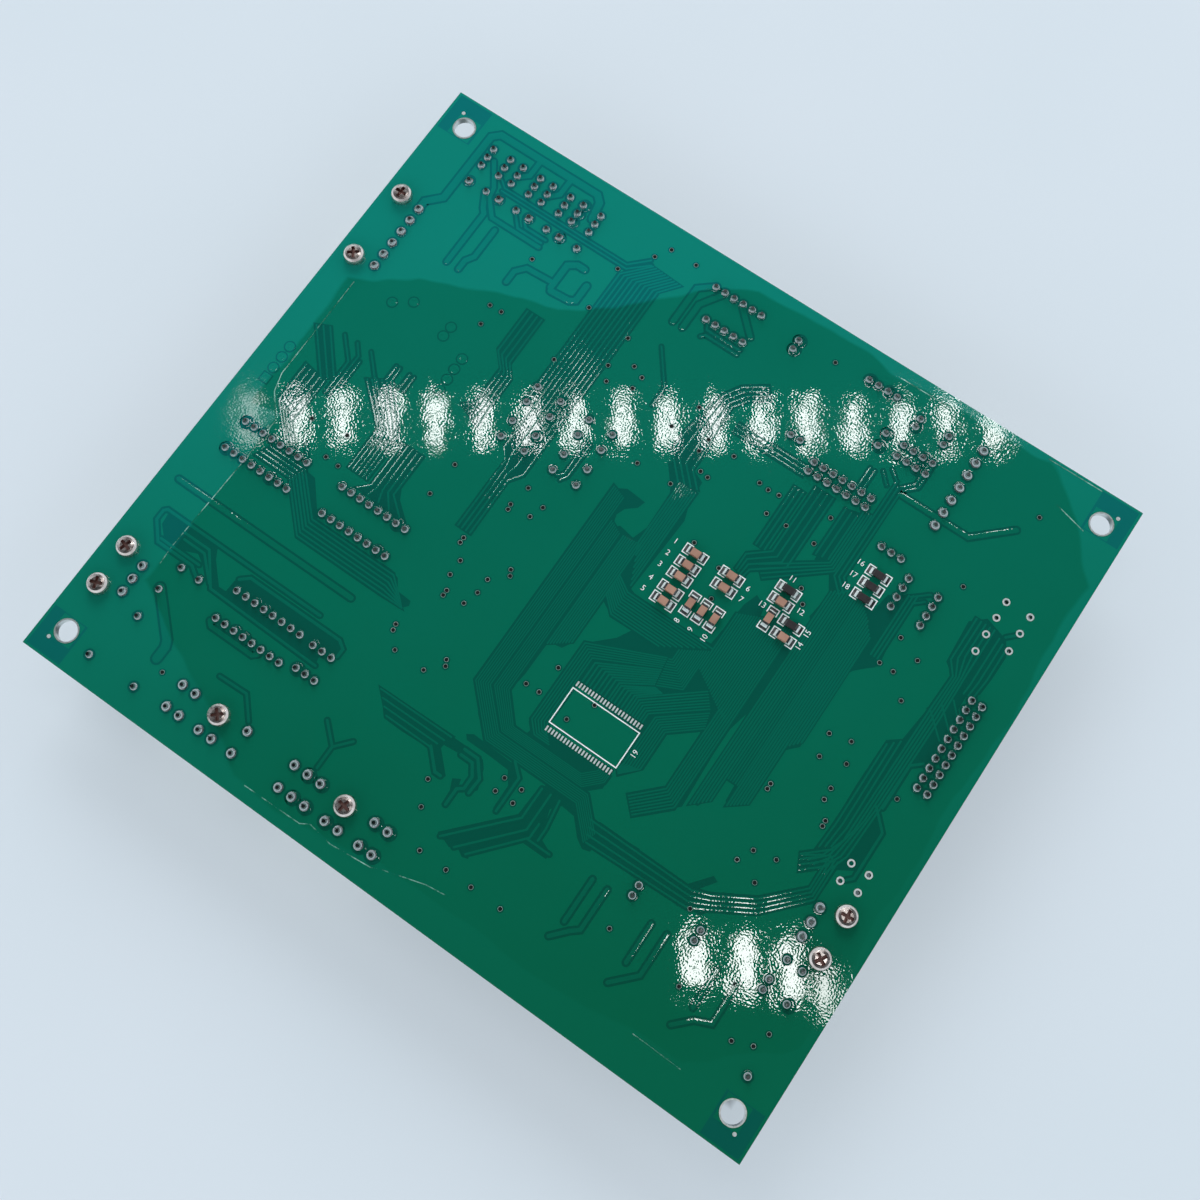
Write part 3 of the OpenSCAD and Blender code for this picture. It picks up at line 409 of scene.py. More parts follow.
def joined(name, objects):
    activate(*objects)
    if len(objects) > 1:
        bpy.ops.object.join()
    objects[0].name = objects[0].data.name = name
    return objects[0]


def laid(piece):
    """The piece becomes part of the board."""
    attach(piece, "root")


def drawing(name, **settings):
    curve = bpy.data.curves.new(name, "CURVE")
    curve.dimensions = "2D"
    for key, value in settings.items():
        setattr(curve, key, value)
    return curve


def drawn(curve, points):
    """Adds a line to a drawing, by its points in millimetres."""
    line = curve.splines.new("POLY")
    line.points.add(len(points) - 1)
    for point, (x, y) in zip(line.points, points):
        point.co = (x * MM, y * MM, 0, 1)
    return line


def shown(name, data):
    made = bpy.data.objects.new(name, data)
    bpy.context.scene.collection.objects.link(made)
    return made


def section(name, points):
    """A cross-section one unit wide, as (across, up)."""
    curve = drawing(name)
    drawn(curve, points)
    return shown(name, curve)


FLAT = section("flat_section", [(-0.5, 0), (0.5, 0)])
ROUNDED = section("rounded_section", [(-0.5, 0), (-0.4, 0.0016), (-0.28, 0.0066), (-0.16, 0.0115), (0, 0.0138),
                                      (0.16, 0.0115), (0.28, 0.0066), (0.4, 0.0016), (0.5, 0)])
LOW = section("low_section", [(-0.5, 0), (-0.44, 0.0016), (-0.37, 0.0058), (-0.3, 0.0083), (0, 0.0094), (0.3, 0.0083),
                              (0.37, 0.0058), (0.44, 0.0016), (0.5, 0)])
SOFT = section("soft_section", [(-0.5, 0), (-0.3, 0.0012), (0, 0.0018), (0.3, 0.0012), (0.5, 0)])

# Half-round end of a line: shares of half the width along it, and of the width across it
ROUND_END = [(-1.2, 1.0), (0.0, 1.0), (0.5, 0.866), (0.8, 0.6), (0.95, 0.312), (1.0, 0.02)]


def stations(width, points, round_ends):
    """Places and widths along a line."""
    if not round_ends:
        return [(Vector(p), width) for p in points]
    a, b, y, z = [Vector(points[i]) for i in (0, 1, -2, -1)]
    back, on = (a - b).normalized() * width / 2, (z - y).normalized() * width / 2
    ends = [[(p + way * reach, width * wide) for reach, wide in ROUND_END] for p, way in ((a, back), (z, on))]
    return ends[0][::-1] + [(Vector(p), width) for p in points[1:-1]] + ends[1]


def swept(name, lines, shape, rise, material, round_ends=False):
    """Lines of (width, points), in millimetres, swept with a cross-section at a height over the board."""
    curve = drawing(name, fill_mode="NONE", bevel_mode="OBJECT", bevel_object=shape)
    for width, points in lines:
        places = stations(width, points, round_ends)
        line = drawn(curve, [place for place, wide in places])
        line.points.foreach_set("radius", [wide for place, wide in places])
        line.use_smooth = True
    return as_mesh(name, curve, rise, material)


def filled(name, points, rise, material):
    """A flat area by its outline, in millimetres."""
    curve = drawing(name, fill_mode="BOTH")
    drawn(curve, points).use_cyclic_u = True
    return as_mesh(name, curve, rise, material)


def as_mesh(name, data, rise, material, at=(0, 0), turn=0.0):
    """Turns a drawing or a text into a mesh at a place and a height over the board."""
    area = shown(name, data)
    area.location = (at[0] * MM, at[1] * MM, SOLDER_Z + rise * MM)
    area.rotation_euler.z = turn
    activate(area)
    bpy.ops.object.convert(target="MESH")
    bpy.ops.object.transform_apply()
    face_up(area)
    area.data.materials.clear()
    area.data.materials.append(material)
    return area


def face_up(strip):
    """Turns the strips over if they look down."""
    activate(strip)
    if sum(p.normal.z * p.area for p in strip.data.polygons) < 0:
        bpy.ops.object.mode_set(mode="EDIT")
        bpy.ops.mesh.select_all(action="SELECT")
        bpy.ops.mesh.flip_normals()
        bpy.ops.object.mode_set(mode="OBJECT")


def fan(count, first, last):
    """Lines spread evenly between two edge lines that have the same number of points."""
    shares = [i / (count - 1) for i in range(count)]
    spans = sorted((Vector(a) - Vector(b)).length for a, b in zip(first, last))
    width = min(FINE, 0.55 * spans[len(spans) // 2] / (count - 1))
    return [(width, [(a[0] + (b[0] - a[0]) * t, a[1] + (b[1] - a[1]) * t) for a, b in zip(first, last)])
            for t in shares]


def longer(points, by):
    """A line with both ends drawn out."""
    a, b = Vector(points[0]), Vector(points[1])
    y, z = Vector(points[-2]), Vector(points[-1])
    return [tuple(a + (a - b).normalized() * by), *points[1:-1], tuple(z + (z - y).normalized() * by)]


def fan_area(first, last):
    """Outline of the place without copper that a fan lies in."""
    edges = [[Vector(p) for p in longer(line, CLEARANCE)] for line in (first, last)]
    sides = [[p + (p - q).normalized() * (FINE / 2 + CLEARANCE) for p, q in zip(edge, other)]
             for edge, other in (edges, edges[::-1])]
    return sides[0] + sides[1][::-1]


# Fine lines side by side: number of lines, and the two lines at the edges
FANS = [
    # Bus down the middle, and round the foot of the empty memory place
    (7, [(-6.9, 21), (-6.9, -32.9), (2.6, -42.3), (26.5, -42.3), (32.5, -48.3)],
        [(-3.7, 20), (-3.7, -31.9), (4, -39.5), (27.5, -39.5), (33.5, -45.5)]),
    (7, [(-2.8, 14), (-2.8, -31.5), (4.4, -38.8), (25.5, -38.8), (29, -35.3), (29, -33.6)],
        [(0.3, 12.5), (0.3, -30.5), (5.8, -36.6), (23.8, -36.6), (26.5, -34), (26.5, -33.6)]),
    (9, [(1.4, 12.5), (1.4, -17.3)], [(5.7, 13), (5.7, -14)]),
    (8, [(5, 30), (5, 13)], [(9.2, 30), (9.2, 4)]),
    (10, [(6, 4.4), (9.5, 2.3), (32, 2.3)], [(5.7, -0.6), (9.3, -3.9), (22, -3.9)]),
    (6, [(25, -5), (8.2, -12.5), (8.2, -32.9), (10.6, -35.4), (14.5, -35.4)],
        [(25.3, -7.4), (11.4, -14.4), (11.4, -31.5), (12.2, -32.9), (12.4, -33.2)]),
    (8, [(25.4, -8), (12.6, -14.9), (12.6, -19.8)], [(26, -11.5), (19.5, -15.6), (19.5, -19.8)]),
    (7, [(36.5, -6.2), (24.5, -16), (24.5, -19.8)], [(39, -9.2), (28.5, -17.6), (28.5, -19.8)]),
    (7, [(39.4, -10), (30.2, -17.4), (30.2, -29.5), (29.6, -31.2)],
        [(40.4, -13.4), (33.8, -18.9), (33.8, -28.6), (30.4, -32)]),
    (5, [(25.5, -5), (26.2, -4.7), (26.2, -2)], [(25.8, -7.4), (28.4, -6.2), (28.4, -0.8)]),
    (7, [(26, -8), (28.9, -6.6), (28.9, -0.4)], [(26.5, -11.4), (31.8, -8.9), (31.8, 1.4)]),
    (5, [(26.6, -12), (20.2, -15.9), (20.2, -19.8)], [(28.4, -12.2), (23.8, -16), (23.8, -19.8)]),
    # Two broad buses right of the processor
    (22, [(32.3, 12), (32.3, -3)], [(44.4, 17.5), (44.4, -10.4)]),
    (7, [(40.8, -8), (40.8, -28.8), (34.9, -34.7)], [(44.4, -9), (44.4, -31.2), (37.8, -37.6)]),
    (6, [(46.8, 28), (46.8, -28.6)], [(50, 31), (50, -25.6)]),
    (5, [(50.6, 31), (50.6, -19.5)], [(53, 31), (53, -19.5)]),
    (7, [(53.5, 30), (53.5, -24.4)], [(57, 27), (57, -21.6)]),
    (4, [(57.6, 26), (57.6, -6)], [(59.4, 24), (59.4, -4)]),
    # From the service header down to the processor
    (4, [(43, 48), (43, 33.5), (30, 24.2)], [(44.9, 48), (44.9, 32.4), (32.4, 22)]),
    (3, [(45.4, 58), (45.4, 31.5), (48.5, 28.5)], [(47.4, 56), (47.4, 32.4), (49.8, 30)]),
    (3, [(27, 44), (27, 27.8)], [(29.3, 44), (29.3, 27.8)]),
    (4, [(31, 46.5), (31, 28.5), (26.4, 24.6), (26.4, 20.5)], [(35.6, 46.5), (35.6, 27), (29, 22), (28.6, 19.6)]),
    (3, [(39.3, 46), (39.3, 33.4)], [(42.3, 46), (42.3, 34)]),
    (3, [(8.5, 47.3), (27, 47.3)], [(8.5, 49.5), (27, 49.5)]),
    (4, [(9, 61), (4, 57.5), (1.2, 53), (-0.8, 41), (-0.8, 35.5), (4.5, 30)],
        [(11, 58.5), (7, 55.5), (4.6, 52), (5.5, 41), (5.5, 34.5), (9, 31)]),
    # Bus from the left driver chips and the relays
    (10, [(-30, 71), (-35.5, 65), (-35.5, 27)], [(-22, 70.5), (-25.5, 66), (-25.5, 22)]),
    (4, [(-33, 28), (-33, 14.5), (-30.9, 12), (-30.9, -6.5)],
        [(-25.5, 22), (-25.5, 11.5), (-27.6, 8.5), (-27.6, -6.5)]),
    (4, [(-48, 45), (-48, 33), (-44.7, 29.5), (-44.7, 20), (-47, 17.5)],
        [(-44, 45), (-44, 32), (-41.5, 29), (-41.5, 20), (-41, 15)]),
    (6, [(-69, 10), (-59.5, 1.5), (-59.5, -9.5)], [(-64, 13), (-54.5, 2.5), (-54.5, -9.5)]),
    (5, [(-83, 5), (-83, -5.5), (-75, -13.5)], [(-77, 4), (-77, -8), (-71.5, -13.5)]),
    (5, [(-52.7, 2), (-52.7, -10), (-55, -12.3)], [(-47.2, 2), (-47.2, -9), (-43, -12.5)]),
    (6, [(-67.5, -15.6), (-59, -24.1), (-36, -24.1), (-31.5, -27.8)],
        [(-69, -19.5), (-59.5, -29.1), (-36, -29.1), (-30, -29.1)]),
    (4, [(-77.5, -15.8), (-68.5, -15.8)], [(-79, -19.1), (-69.5, -19.1)]),
    (3, [(-87, 14.2), (-77.8, 3.9)], [(-84, 15.6), (-75.8, 6.2)]),
    (4, [(-23, -46.3), (-4, -46.1)], [(-18.5, -50.4), (-6.5, -50.4)]),
    # To the ribbon header and the right edge
    (4, [(31, -43.5), (57, -43.5), (61, -42), (69.5, -37), (77.4, -29), (77.4, -21)],
        [(33, -48), (58, -47), (62.5, -44.5), (71, -39.5), (79.4, -30.5), (79.4, -21)]),
    (5, [(76.6, 41), (76.6, 30), (78.9, 27), (78.6, 18.4), (78, -16.5), (76, -21.5), (72.4, -24)],
        [(81.2, 41), (81.2, 34.4), (81.2, 28.1), (81.4, 17.2), (81, -3.9), (80.4, -19), (78.3, -24.6)]),
    (3, [(74.8, 6.2), (74.8, -14), (74.4, -20.5)], [(77, 8.4), (77.2, -14), (76.5, -19)]),
    (3, [(83, 40), (83, 27.5), (82.8, 25)], [(85.5, 38.5), (85.5, 30.5), (85, 25.5)]),
    (3, [(78.5, 18), (83.8, 13.2)], [(81.8, 22.5), (84.6, 19.6)]),
    (4, [(72, -24), (77, -19.5)], [(73.5, -27), (78, -23)]),
    (3, [(61.5, 37), (61.5, 21)], [(63.2, 38), (63.2, 21)]),
]

# Places without copper under the fine lines, as outlines
BARE_ZONES = [
    [(-5.9, 16.2), (-6.7, 20.7), (-4.1, 22.2), (1, 21.8), (0.4, 19.8), (-1.9, 17.9), (-2.7, 15.8), (-1.8, 12.6),
     (-0.6, 14.1), (3.4, 13.4), (5.1, 18.6), (6.1, 23.4), (3.8, 27.9), (-0.2, 32.8), (4, 35.3), (9.1, 33),
     (9.5, 27.1), (10.8, 23.2), (10.4, 15.5), (9.7, 3.4), (13.8, 2), (21.3, 2.2), (25.4, 2.7), (15, -4.5),
     (7.9, -3.4), (5.8, -2.2), (6.1, -13.8), (4.6, -16.3), (2.6, -16.7), (2, -13.7), (1.5, -9.5), (1.3, -25.5),
     (0.7, -30.4), (5.8, -35.7), (8.7, -37.5), (1.5, -41.8), (-2.1, -38.7), (-6.9, -33.2)],
    [(9.2, 2.1), (13.8, 2), (19.6, 2), (25.4, 2.7), (31.2, 3.1), (32.4, 14.7), (33.6, 18.1), (36.4, 16.8),
     (37.4, 12.2), (46.8, 12.2), (48.3, 17.7), (45.8, 20.6), (46.7, 27.1), (44.1, 31.3), (47.1, 31.4), (51.8, 29.9),
     (56.8, 29.9), (57.6, 34.6), (62.4, 37.9), (64.3, 19.7), (60.2, 15.6), (58.8, 12.7), (59.7, 11.4), (59.5, 1.1),
     (59.7, -5), (57.1, -7.7), (57, -21.7), (53.5, -24.7), (52.7, -23.7), (52.4, -19.3), (50.2, -19.3), (49.9, -24.8),
     (48.4, -28.1), (47.3, -28.3), (46.7, -26), (46.2, -5.5), (44.8, -11.5), (45.7, -30.1), (37.8, -38),
     (34.6, -34.6), (40.4, -28.2), (40.1, -13.5), (33.6, -19.8), (33.8, -28.5), (30.7, -31.2), (29.3, -22.7),
     (12.4, -21.1), (12.2, -30.8), (12.4, -32.5), (29.3, -31.8), (29.5, -36.6), (25.9, -40), (18.2, -40.3),
     (8.7, -37.5), (9.3, -35.2), (7.9, -33.7), (8.2, -21.4), (7.9, -14.5), (8.5, -12.2), (13.3, -7.6), (15, -4.5)],
    [(1.5, -41.8), (8.5, -37.3), (17.9, -39.9), (25.7, -39.8), (27.5, -40.1), (31.2, -43.7), (33.9, -43.1),
     (43.4, -42.6), (38.8, -45.8), (31.1, -46.2), (28.1, -44.6), (24.5, -42.2), (19.9, -42.6), (14.4, -43),
     (7.2, -41.7)],
    [(39.5, 43.5), (40.1, 46.6), (46.1, 48.1), (45.4, 40.2), (45.1, 34.6), (46.7, 31.1), (44.1, 31.3), (39.7, 32.2),
     (39.8, 39)],
    [(31.7, 40.9), (35.6, 45.6), (35.1, 30.5), (33.1, 27.7), (30.4, 27.9), (30.4, 33.9)],
    [(27.6, 41.2), (29.1, 40.8), (28.8, 29.5), (27.3, 29.8)],
    [(-69.1, -19.2), (-63.9, -23.7), (-58.9, -28.8), (-56.1, -29.4), (-30.4, -29.6), (-28.9, -27.8), (-29.3, -26.7),
     (-33, -26.5), (-34.8, -24.1), (-37, -23.3), (-39.3, -23.3), (-46.7, -23.8), (-57.5, -23.9), (-60, -21),
     (-64.4, -15.9), (-66.6, -15.7)],
    [(-52.1, 0), (-50, 0.3), (-48.2, -3.7), (-45.2, -9.2), (-39.8, -13.5), (-41.2, -14.7), (-49.9, -13.5),
     (-52.6, -8.5)],
    [(-86.9, -41.1), (-77.9, -41.2), (-72.5, -41.5), (-71.1, -43.9), (-66.7, -48.4), (-64.8, -48.3), (-64.7, -45.4),
     (-62.9, -43.4), (-60.9, -43.1), (-37, -42.7), (-35.3, -43.8), (-35.2, -45.8), (-35.8, -47.9), (-38.5, -48.4),
     (-38.2, -49.8), (-38.9, -51.1), (-42.3, -51), (-67, -50.6), (-69.3, -49.4), (-72.2, -46.9), (-75.3, -45.1),
     (-79.3, -46.7), (-81.6, -46.6), (-84, -46.6), (-86.5, -44.2)],
    [(-21.3, -48.1), (-18.6, -46.3), (-7.2, -45.9), (1.4, -45.8), (4.6, -46.2), (5.9, -47.7), (7.5, -52.1),
     (6.2, -54), (5.2, -53.6), (4.8, -50.5), (3.2, -48.7), (-0.3, -48), (-4.3, -48.4), (-4.4, -49.3), (0, -53.6),
     (-0.3, -54.6), (-1.8, -54.3), (-4.6, -53.1), (-6.8, -50.9), (-14.1, -51.2), (-18.6, -51.1)],
    [(1.4, -53.2), (3.1, -52.2), (3.7, -54.2), (3.8, -58.7), (2.7, -59), (2.5, -55.5)],
    [(-1.7, -43.7), (-0.3, -42.8), (11.3, -43.2), (14.1, -46.5), (14.1, -53.2), (13.1, -53.9), (12.4, -53.3),
     (12.3, -47.7), (10.3, -44.9), (5.4, -44.7), (-0.8, -44.7)],
    [(19.3, -41.9), (24.3, -41.5), (27.6, -39.8), (31.5, -44.3), (33, -42.7), (55.7, -42.8), (59.3, -38.3),
     (60.7, -38.9), (57, -44), (59.4, -45.3), (62.4, -45.2), (61.4, -46.9), (58.5, -46.9), (56.4, -45.4),
     (55.2, -45.9), (47.5, -45.7), (44.7, -46.9), (39.4, -47.5), (33.1, -47.3), (34.9, -48.1), (34.8, -49.1),
     (33.1, -49.6), (30.9, -48.3), (27.7, -44.9), (24.4, -44.6), (22.6, -46.6), (24.5, -52.7), (28.2, -54.2),
     (27.9, -55.7), (21.7, -55.7), (14, -63.2), (14.2, -65.1), (12.9, -65.5), (11.3, -64.6), (9.4, -65.4),
     (7.7, -64.8), (6.2, -65.3), (5.6, -64.1), (17.6, -51.3), (17.9, -45.9)],
    [(57, 29), (61, 36.6), (63.4, 38.3), (63.8, 19), (59.2, 15.1), (58.3, 11.9), (59.6, 7.4), (57, 20)],
    [(75.4, 39.5), (78.6, 42.4), (84.4, 40.6), (86.4, 37.2), (86.3, 31.4), (85.9, 26.8), (83.6, 24.9), (83.8, 13.5),
     (78.4, 18.3), (79, 26.7), (76, 29)],
    [(78.1, 18.1), (84.2, 12.8), (84.3, 7.5), (81.1, 4.5), (81.2, -3.9), (80.4, -7.1), (77, -7), (77, 9)],
    [(80.3, -7.5), (84.3, -10.8), (84.3, -19.9), (79.1, -23.2), (78, -19.9), (78, -7.5)],
    [(76.8, 8.9), (74.2, 6.9), (74, -4.7), (74.2, -13.6), (73.6, -22.8), (79, -24), (81.2, -4), (78.5, 9)],
]

# Single tracks: width, and the points of the line
TRACKS = [
    # Relays and six-way connector
    (1.7, [(-84.9, 52.5), (-84.9, 54.3), (-81.7, 57.6), (-81.7, 77.3), (-79.9, 79), (-51.5, 79), (-49.9, 77.5),
           (-49, 73)]),
    (1.2, [(-67.9, 79), (-67.9, 74), (-70, 72.2)]),
    (1.2, [(-59, 79), (-59, 74), (-61, 72)]),
    (1.0, [(-77.3, 72.3), (-73.2, 66.5), (-72.6, 63.8), (-69, 59.8), (-55.3, 59.8)]),
    (FINE, [(-72.8, 69.3), (-71, 67.9), (-35.5, 67.9), (-31.3, 72)]),
    (FINE, [(-71.2, 66.9), (-35, 66.9), (-30.5, 71)]),
    (1.2, [(-74.2, 64.2), (-72.3, 60.8), (-71.2, 59.6), (-71.2, 44.5)]),
    (1.2, [(-66.5, 57.5), (-66.5, 49.2), (-67.8, 47.2), (-67.8, 44.5)]),
    (0.6, [(-65.3, 64.3), (-62.3, 61), (-55.5, 61)]),
    (0.6, [(-62, 63.5), (-60.8, 62.2), (-55, 62.2)]),
    (1.2, [(-56.5, 48.2), (-56.5, 51.5), (-54.5, 53.8), (-48, 54.2)]),
    (1.5, [(-43, 61.2), (-45, 61.2), (-47, 59.8), (-47, 53)]),
    (1.5, [(-40.2, 58), (-40.2, 53.5), (-41.5, 52.6), (-46.5, 52.2)]),
    # Power module
    (1.3, [(-15, 75), (-18.4, 72.2), (-18.4, 62)]),
    (1.3, [(-12.5, 74), (-15.7, 69), (-15.7, 62)]),
    (1.2, [(-6.7, 74), (-1.2, 68.8)]),
    (0.6, [(-11.5, 66), (-10.6, 64.7), (-1.5, 64.7)]),
    (0.6, [(-11, 62.5), (-10.2, 63.4), (-1.5, 63.4)]),
    (FINE, [(-17.1, 55.3), (-10.8, 47.2), (-10.8, 42)]),
    (FINE, [(-18, 26), (-18, 17), (-19.2, 15.8)]),
    (FINE, [(-16.9, 26), (-16.9, 17), (-18, 15.2)]),
    # Left driver chips
    (FINE, [(-80, 16), (-75.2, 11), (-75.2, 2)]),
    (FINE, [(-76.3, 16), (-74.1, 13.5), (-74.1, 2)]),
    (FINE, [(-72.3, 16), (-66, 9.5)]),
    (FINE, [(-73, 12.5), (-73, 5.5)]),
    *[(FINE, [(x, 16.5), (x, 12.5)]) for x in (-65.3, -64.2, -61.5, -60.2)],
    (FINE, [(-71.5, -10.3), (-68.7, -13.2)]),
    (1.2, [(-90, -33.7), (-40.7, -33.7)]),
    (0.7, [(-44, -40.8), (-87.5, -40.8), (-88.2, -41.5), (-88.2, -44), (-84.6, -48), (-74.8, -48), (-72, -49.8)]),
    (0.6, [(-81, -42.9), (-73.8, -42.9), (-68, -49.8), (-38, -50.4)]),
    (0.6, [(-80, -44.2), (-74.2, -44.2), (-69, -49)]),
    (0.6, [(-84.5, -47), (-73.5, -47)]),
    (0.7, [(-64, -44.5), (-62, -42.8), (-37, -42.8), (-35.2, -44), (-35.2, -46)]),
    (1.0, [(-63.6, -55.6), (-62.6, -56.5), (-51, -56.5), (-50, -55.6)]),
    (2.0, [(-77.5, -56), (-68.7, -64.5), (-68, -66), (-68, -69)]),
    (0.6, [(-54, -64.2), (-46.7, -63.9), (-42.5, -68.5)]),
    (0.6, [(-24.1, -68), (-24.1, -62.5), (-28.5, -58.5)]),
    (0.6, [(-24.1, -62.5), (-21, -59)]),
    # Foot of the bus
    (0.7, [(-6.5, -50.2), (-2.5, -54.2), (-1, -54.2)]),
    (0.7, [(0, -46.6), (3.5, -46.6), (6.4, -50), (6.2, -53.7)]),
    (0.7, [(0, -48), (3, -48), (4.8, -50.5), (4.8, -53.5), (3.5, -54.5), (3.5, -58.5)]),
    (0.6, [(10.5, -42.5), (13.3, -45), (13.3, -53.5)]),
    (0.5, [(18.7, -44), (18.7, -51.5), (6.5, -64.6)]),
    (0.5, [(21, -44), (21, -53), (10.3, -64.8)]),
    (0.5, [(22.5, -50.5), (22.5, -54), (13.2, -64.6)]),
    (0.5, [(22.5, -54.5), (28, -54.5)]),
    (0.5, [(23.3, -44), (24.3, -50.5), (24.3, -53.5)]),
    # Filter capacitors
    (0.9, [(38.5, -53.5), (38.5, -64)]),
    (0.9, [(42.3, -53.5), (42.3, -63.5), (40.5, -65), (37.5, -68.3)]),
    (0.9, [(53.9, -54), (53.9, -63.5)]),
    (0.9, [(57.8, -54), (57.8, -64), (53, -69)]),
    (0.9, [(70.4, -54), (70.4, -63)]),
    (0.9, [(75.5, -54), (75.5, -63.5), (72, -65), (68.5, -68.5)]),
    # Right edge
    *[(FINE, [(x, 57.5), (x, 51.5)]) for x in (38.7, 40)],
    (FINE, [(41.5, 58.5), (44, 56)]),
    (FINE, [(43, 60), (45.5, 58)]),
    (FINE, [(49.3, 66), (49.3, 60), (47, 57.5)]),
    (FINE, [(50.3, 66), (50.3, 59.6), (47.8, 57)]),
    (1.2, [(48, 56), (65.5, 56), (73.5, 63.5)]),
    (0.6, [(86, 43), (84, 41)]),
    (0.6, [(83.5, 7), (81.3, 5), (81.3, -6)]),
    (0.6, [(80, -6.5), (84, -10.5), (84, -22), (82.5, -23.5)]),
    (FINE, [(63.1, 35.9), (65.2, 37.8)]),
    (FINE, [(62, 37), (65.5, 40)]),
]

# Pads with the mask over them, where nothing is fitted; the first one of the row is square
COVERED_SQUARE = [(-88.8, -3)]
COVERED_ROUND = [(-88.8, 0), (-88.8, 3.2), (-88.8, 6.3), (-60.7, 28.7), (-60.5, 31.5), (-53.6, 17.4), (-53.6, 20.4),
                 (-53.7, 23.4), (-53.7, 26.5), (-75.7, 28.8), (-71.5, 31.7)]

# Small plated holes between the layers: radius of the hole and of its rim, and middles
VIA_HOLE = 0.42
VIA_RADIUS = 0.55
VIAS = [
    (-54.8, 56.4), (-56.2, 41.2), (-53, 41.3), (-55.2, 36.1), (-65.4, -10.5), (-61.8, -10.7), (-73.7, -4.9),
    (-64.5, -3.6), (-65, -70.7), (-28.8, 77), (-21.8, 77), (-31.1, 73.3), (-36.6, 65.8), (-36.6, 53.8), (-24.7, 52.6),
    (-19.5, 47.6), (-16.5, 46.3), (-24.7, 44.4), (-16.8, 42.9), (-1.5, 47.7), (-35.9, 38.5), (-22.8, 40.9),
    (-4.2, 40.3), (-5.7, 28.5), (-22.8, 9.6), (-17.4, 7.7), (-18.6, 4.3), (-23.9, 4.2), (-23.7, 2.9), (-39.9, 4.7),
    (-40.5, -4.1), (-28.1, -8.2), (-28.1, -9.5), (-15, -8.2), (-14.3, -9.5), (-25.6, -12.9), (-18, -13),
    (-25.6, -16.8), (-18.1, -16.7), (-24.1, -20.2), (-24.1, -21.5), (-19.2, -20.4), (-28.9, -32.8), (-28.6, -34.2),
    (-14.9, -32.9), (-14.2, -34.2), (-25.6, -37.6), (-17.7, -37.6), (-2.8, -56.3), (-0.5, -61.9), (18.5, 74.7),
    (11.6, 42.3), (4.6, 42.4), (37.6, 42.4), (19.9, 40.3), (22.4, 40), (25.1, 40.3), (25.1, 35.1), (30.3, 35.2),
    (37.7, 35.2), (3.3, 28.7), (4.3, 38.9), (9.4, 34.7), (7.3, 35), (15.4, 20.2), (23.2, 18.4), (18.7, 13.3),
    (25.7, 11.6), (40.9, 24.9), (43.1, 22), (6.5, -20.4), (2.7, -27.3), (6.1, -27.2), (17.8, -22.7), (14.5, -28.7),
    (76.3, 69), (70.4, 45.6), (65, 27.9), (70.7, 25.6), (64.1, 20.5), (67.6, 20.5), (72.4, 16), (68.2, 2.3),
    (63.3, 1.1), (64.2, -4.3), (69.9, -2.4), (82.8, -2.6), (69.9, -8.7), (70, -11.5), (72.6, -15.2), (72.7, -16.5),
    (58.7, -15.2), (58.7, -16.5), (68.4, -28), (63.3, -29.1), (61.5, -32.7), (67.2, -34.6), (4.7, -69.5),
    (11.7, -69.6), (18.2, -69.5), (25.9, -69.6), (10.7, -46.7), (15.2, -46.7), (10.7, -50.1), (15.3, -50.1),
    (65.7, -61.2), (58.9, -46.8), (47.2, -59.8), (86.3, -58.5), (84.9, -62.3), (80.6, -64), (75.1, -54.2),
]


def lay_tracks():
    """The tracks, and under them the darker gaps where the mask lies on bare laminate."""
    fans = [line for count, first, last in FANS for line in fan(count, first, last)]
    fine = [line for line in TRACKS if line[0] <= FINE]
    narrow = [line for line in TRACKS if FINE < line[0] < BROAD]
    broad = [line for line in TRACKS if line[0] >= BROAD]
    areas = BARE_ZONES + [fan_area(first, last) for count, first, last in FANS]
    bare = [filled("bare_area", area, ZONE_RISE + i * LAYER, GAP) for i, area in enumerate(areas)]
    gaps = [(width + 2 * CLEARANCE, points) for width, points in fine + narrow + broad]
    bare += [swept("gaps", gaps[i::6], FLAT, GAP_RISE + i * LAYER, GAP, True) for i in range(6)]
    laid(joined("track_gaps", bare))
    strips = [swept("dense_tracks", [line for line in fans if line[0] < DENSE], SOFT, TRACK_RISE, LINE, True),
              swept("fine_tracks", [line for line in fans + fine if line[0] >= DENSE], ROUNDED, TRACK_RISE, LINE, True),
              swept("narrow_tracks", narrow, LOW, TRACK_RISE, LINE, True),
              swept("broad_tracks", broad, LOW, TRACK_RISE, TRACK, True)]
    laid(joined("tracks", strips))


def joint_feet(places):
    """Radius of the foot of the solder joint at each place, in millimetres."""
    low = [v.co for v in nodes["solder_joints"].data.vertices if v.co.z < SOLDER_Z + 0.05 * MM]
    tree = KDTree(len(low))
    for i, point in enumerate(low):
        tree.insert((point.x, point.y, 0), i)
    tree.balance()
    return [round(max(away for point, i, away in tree.find_range((x, y, 0), 1.35 * MM)) / MM, 1) for x, y in places]


def disc_model(sides, radius, steps, turn=0.0):
    """A flat disc with steps of (inset, height) towards its middle, in millimetres, left in edit mode."""
    bpy.ops.object.select_all(action="DESELECT")
    bpy.ops.mesh.primitive_circle_add(vertices=sides, radius=radius * MM, fill_type="NGON", rotation=(0, 0, turn))
    bpy.ops.object.transform_apply()
    bpy.ops.object.mode_set(mode="EDIT")
    for inset, height in steps:
        bpy.ops.mesh.inset(thickness=inset * MM, depth=height * MM)
    return bpy.context.object


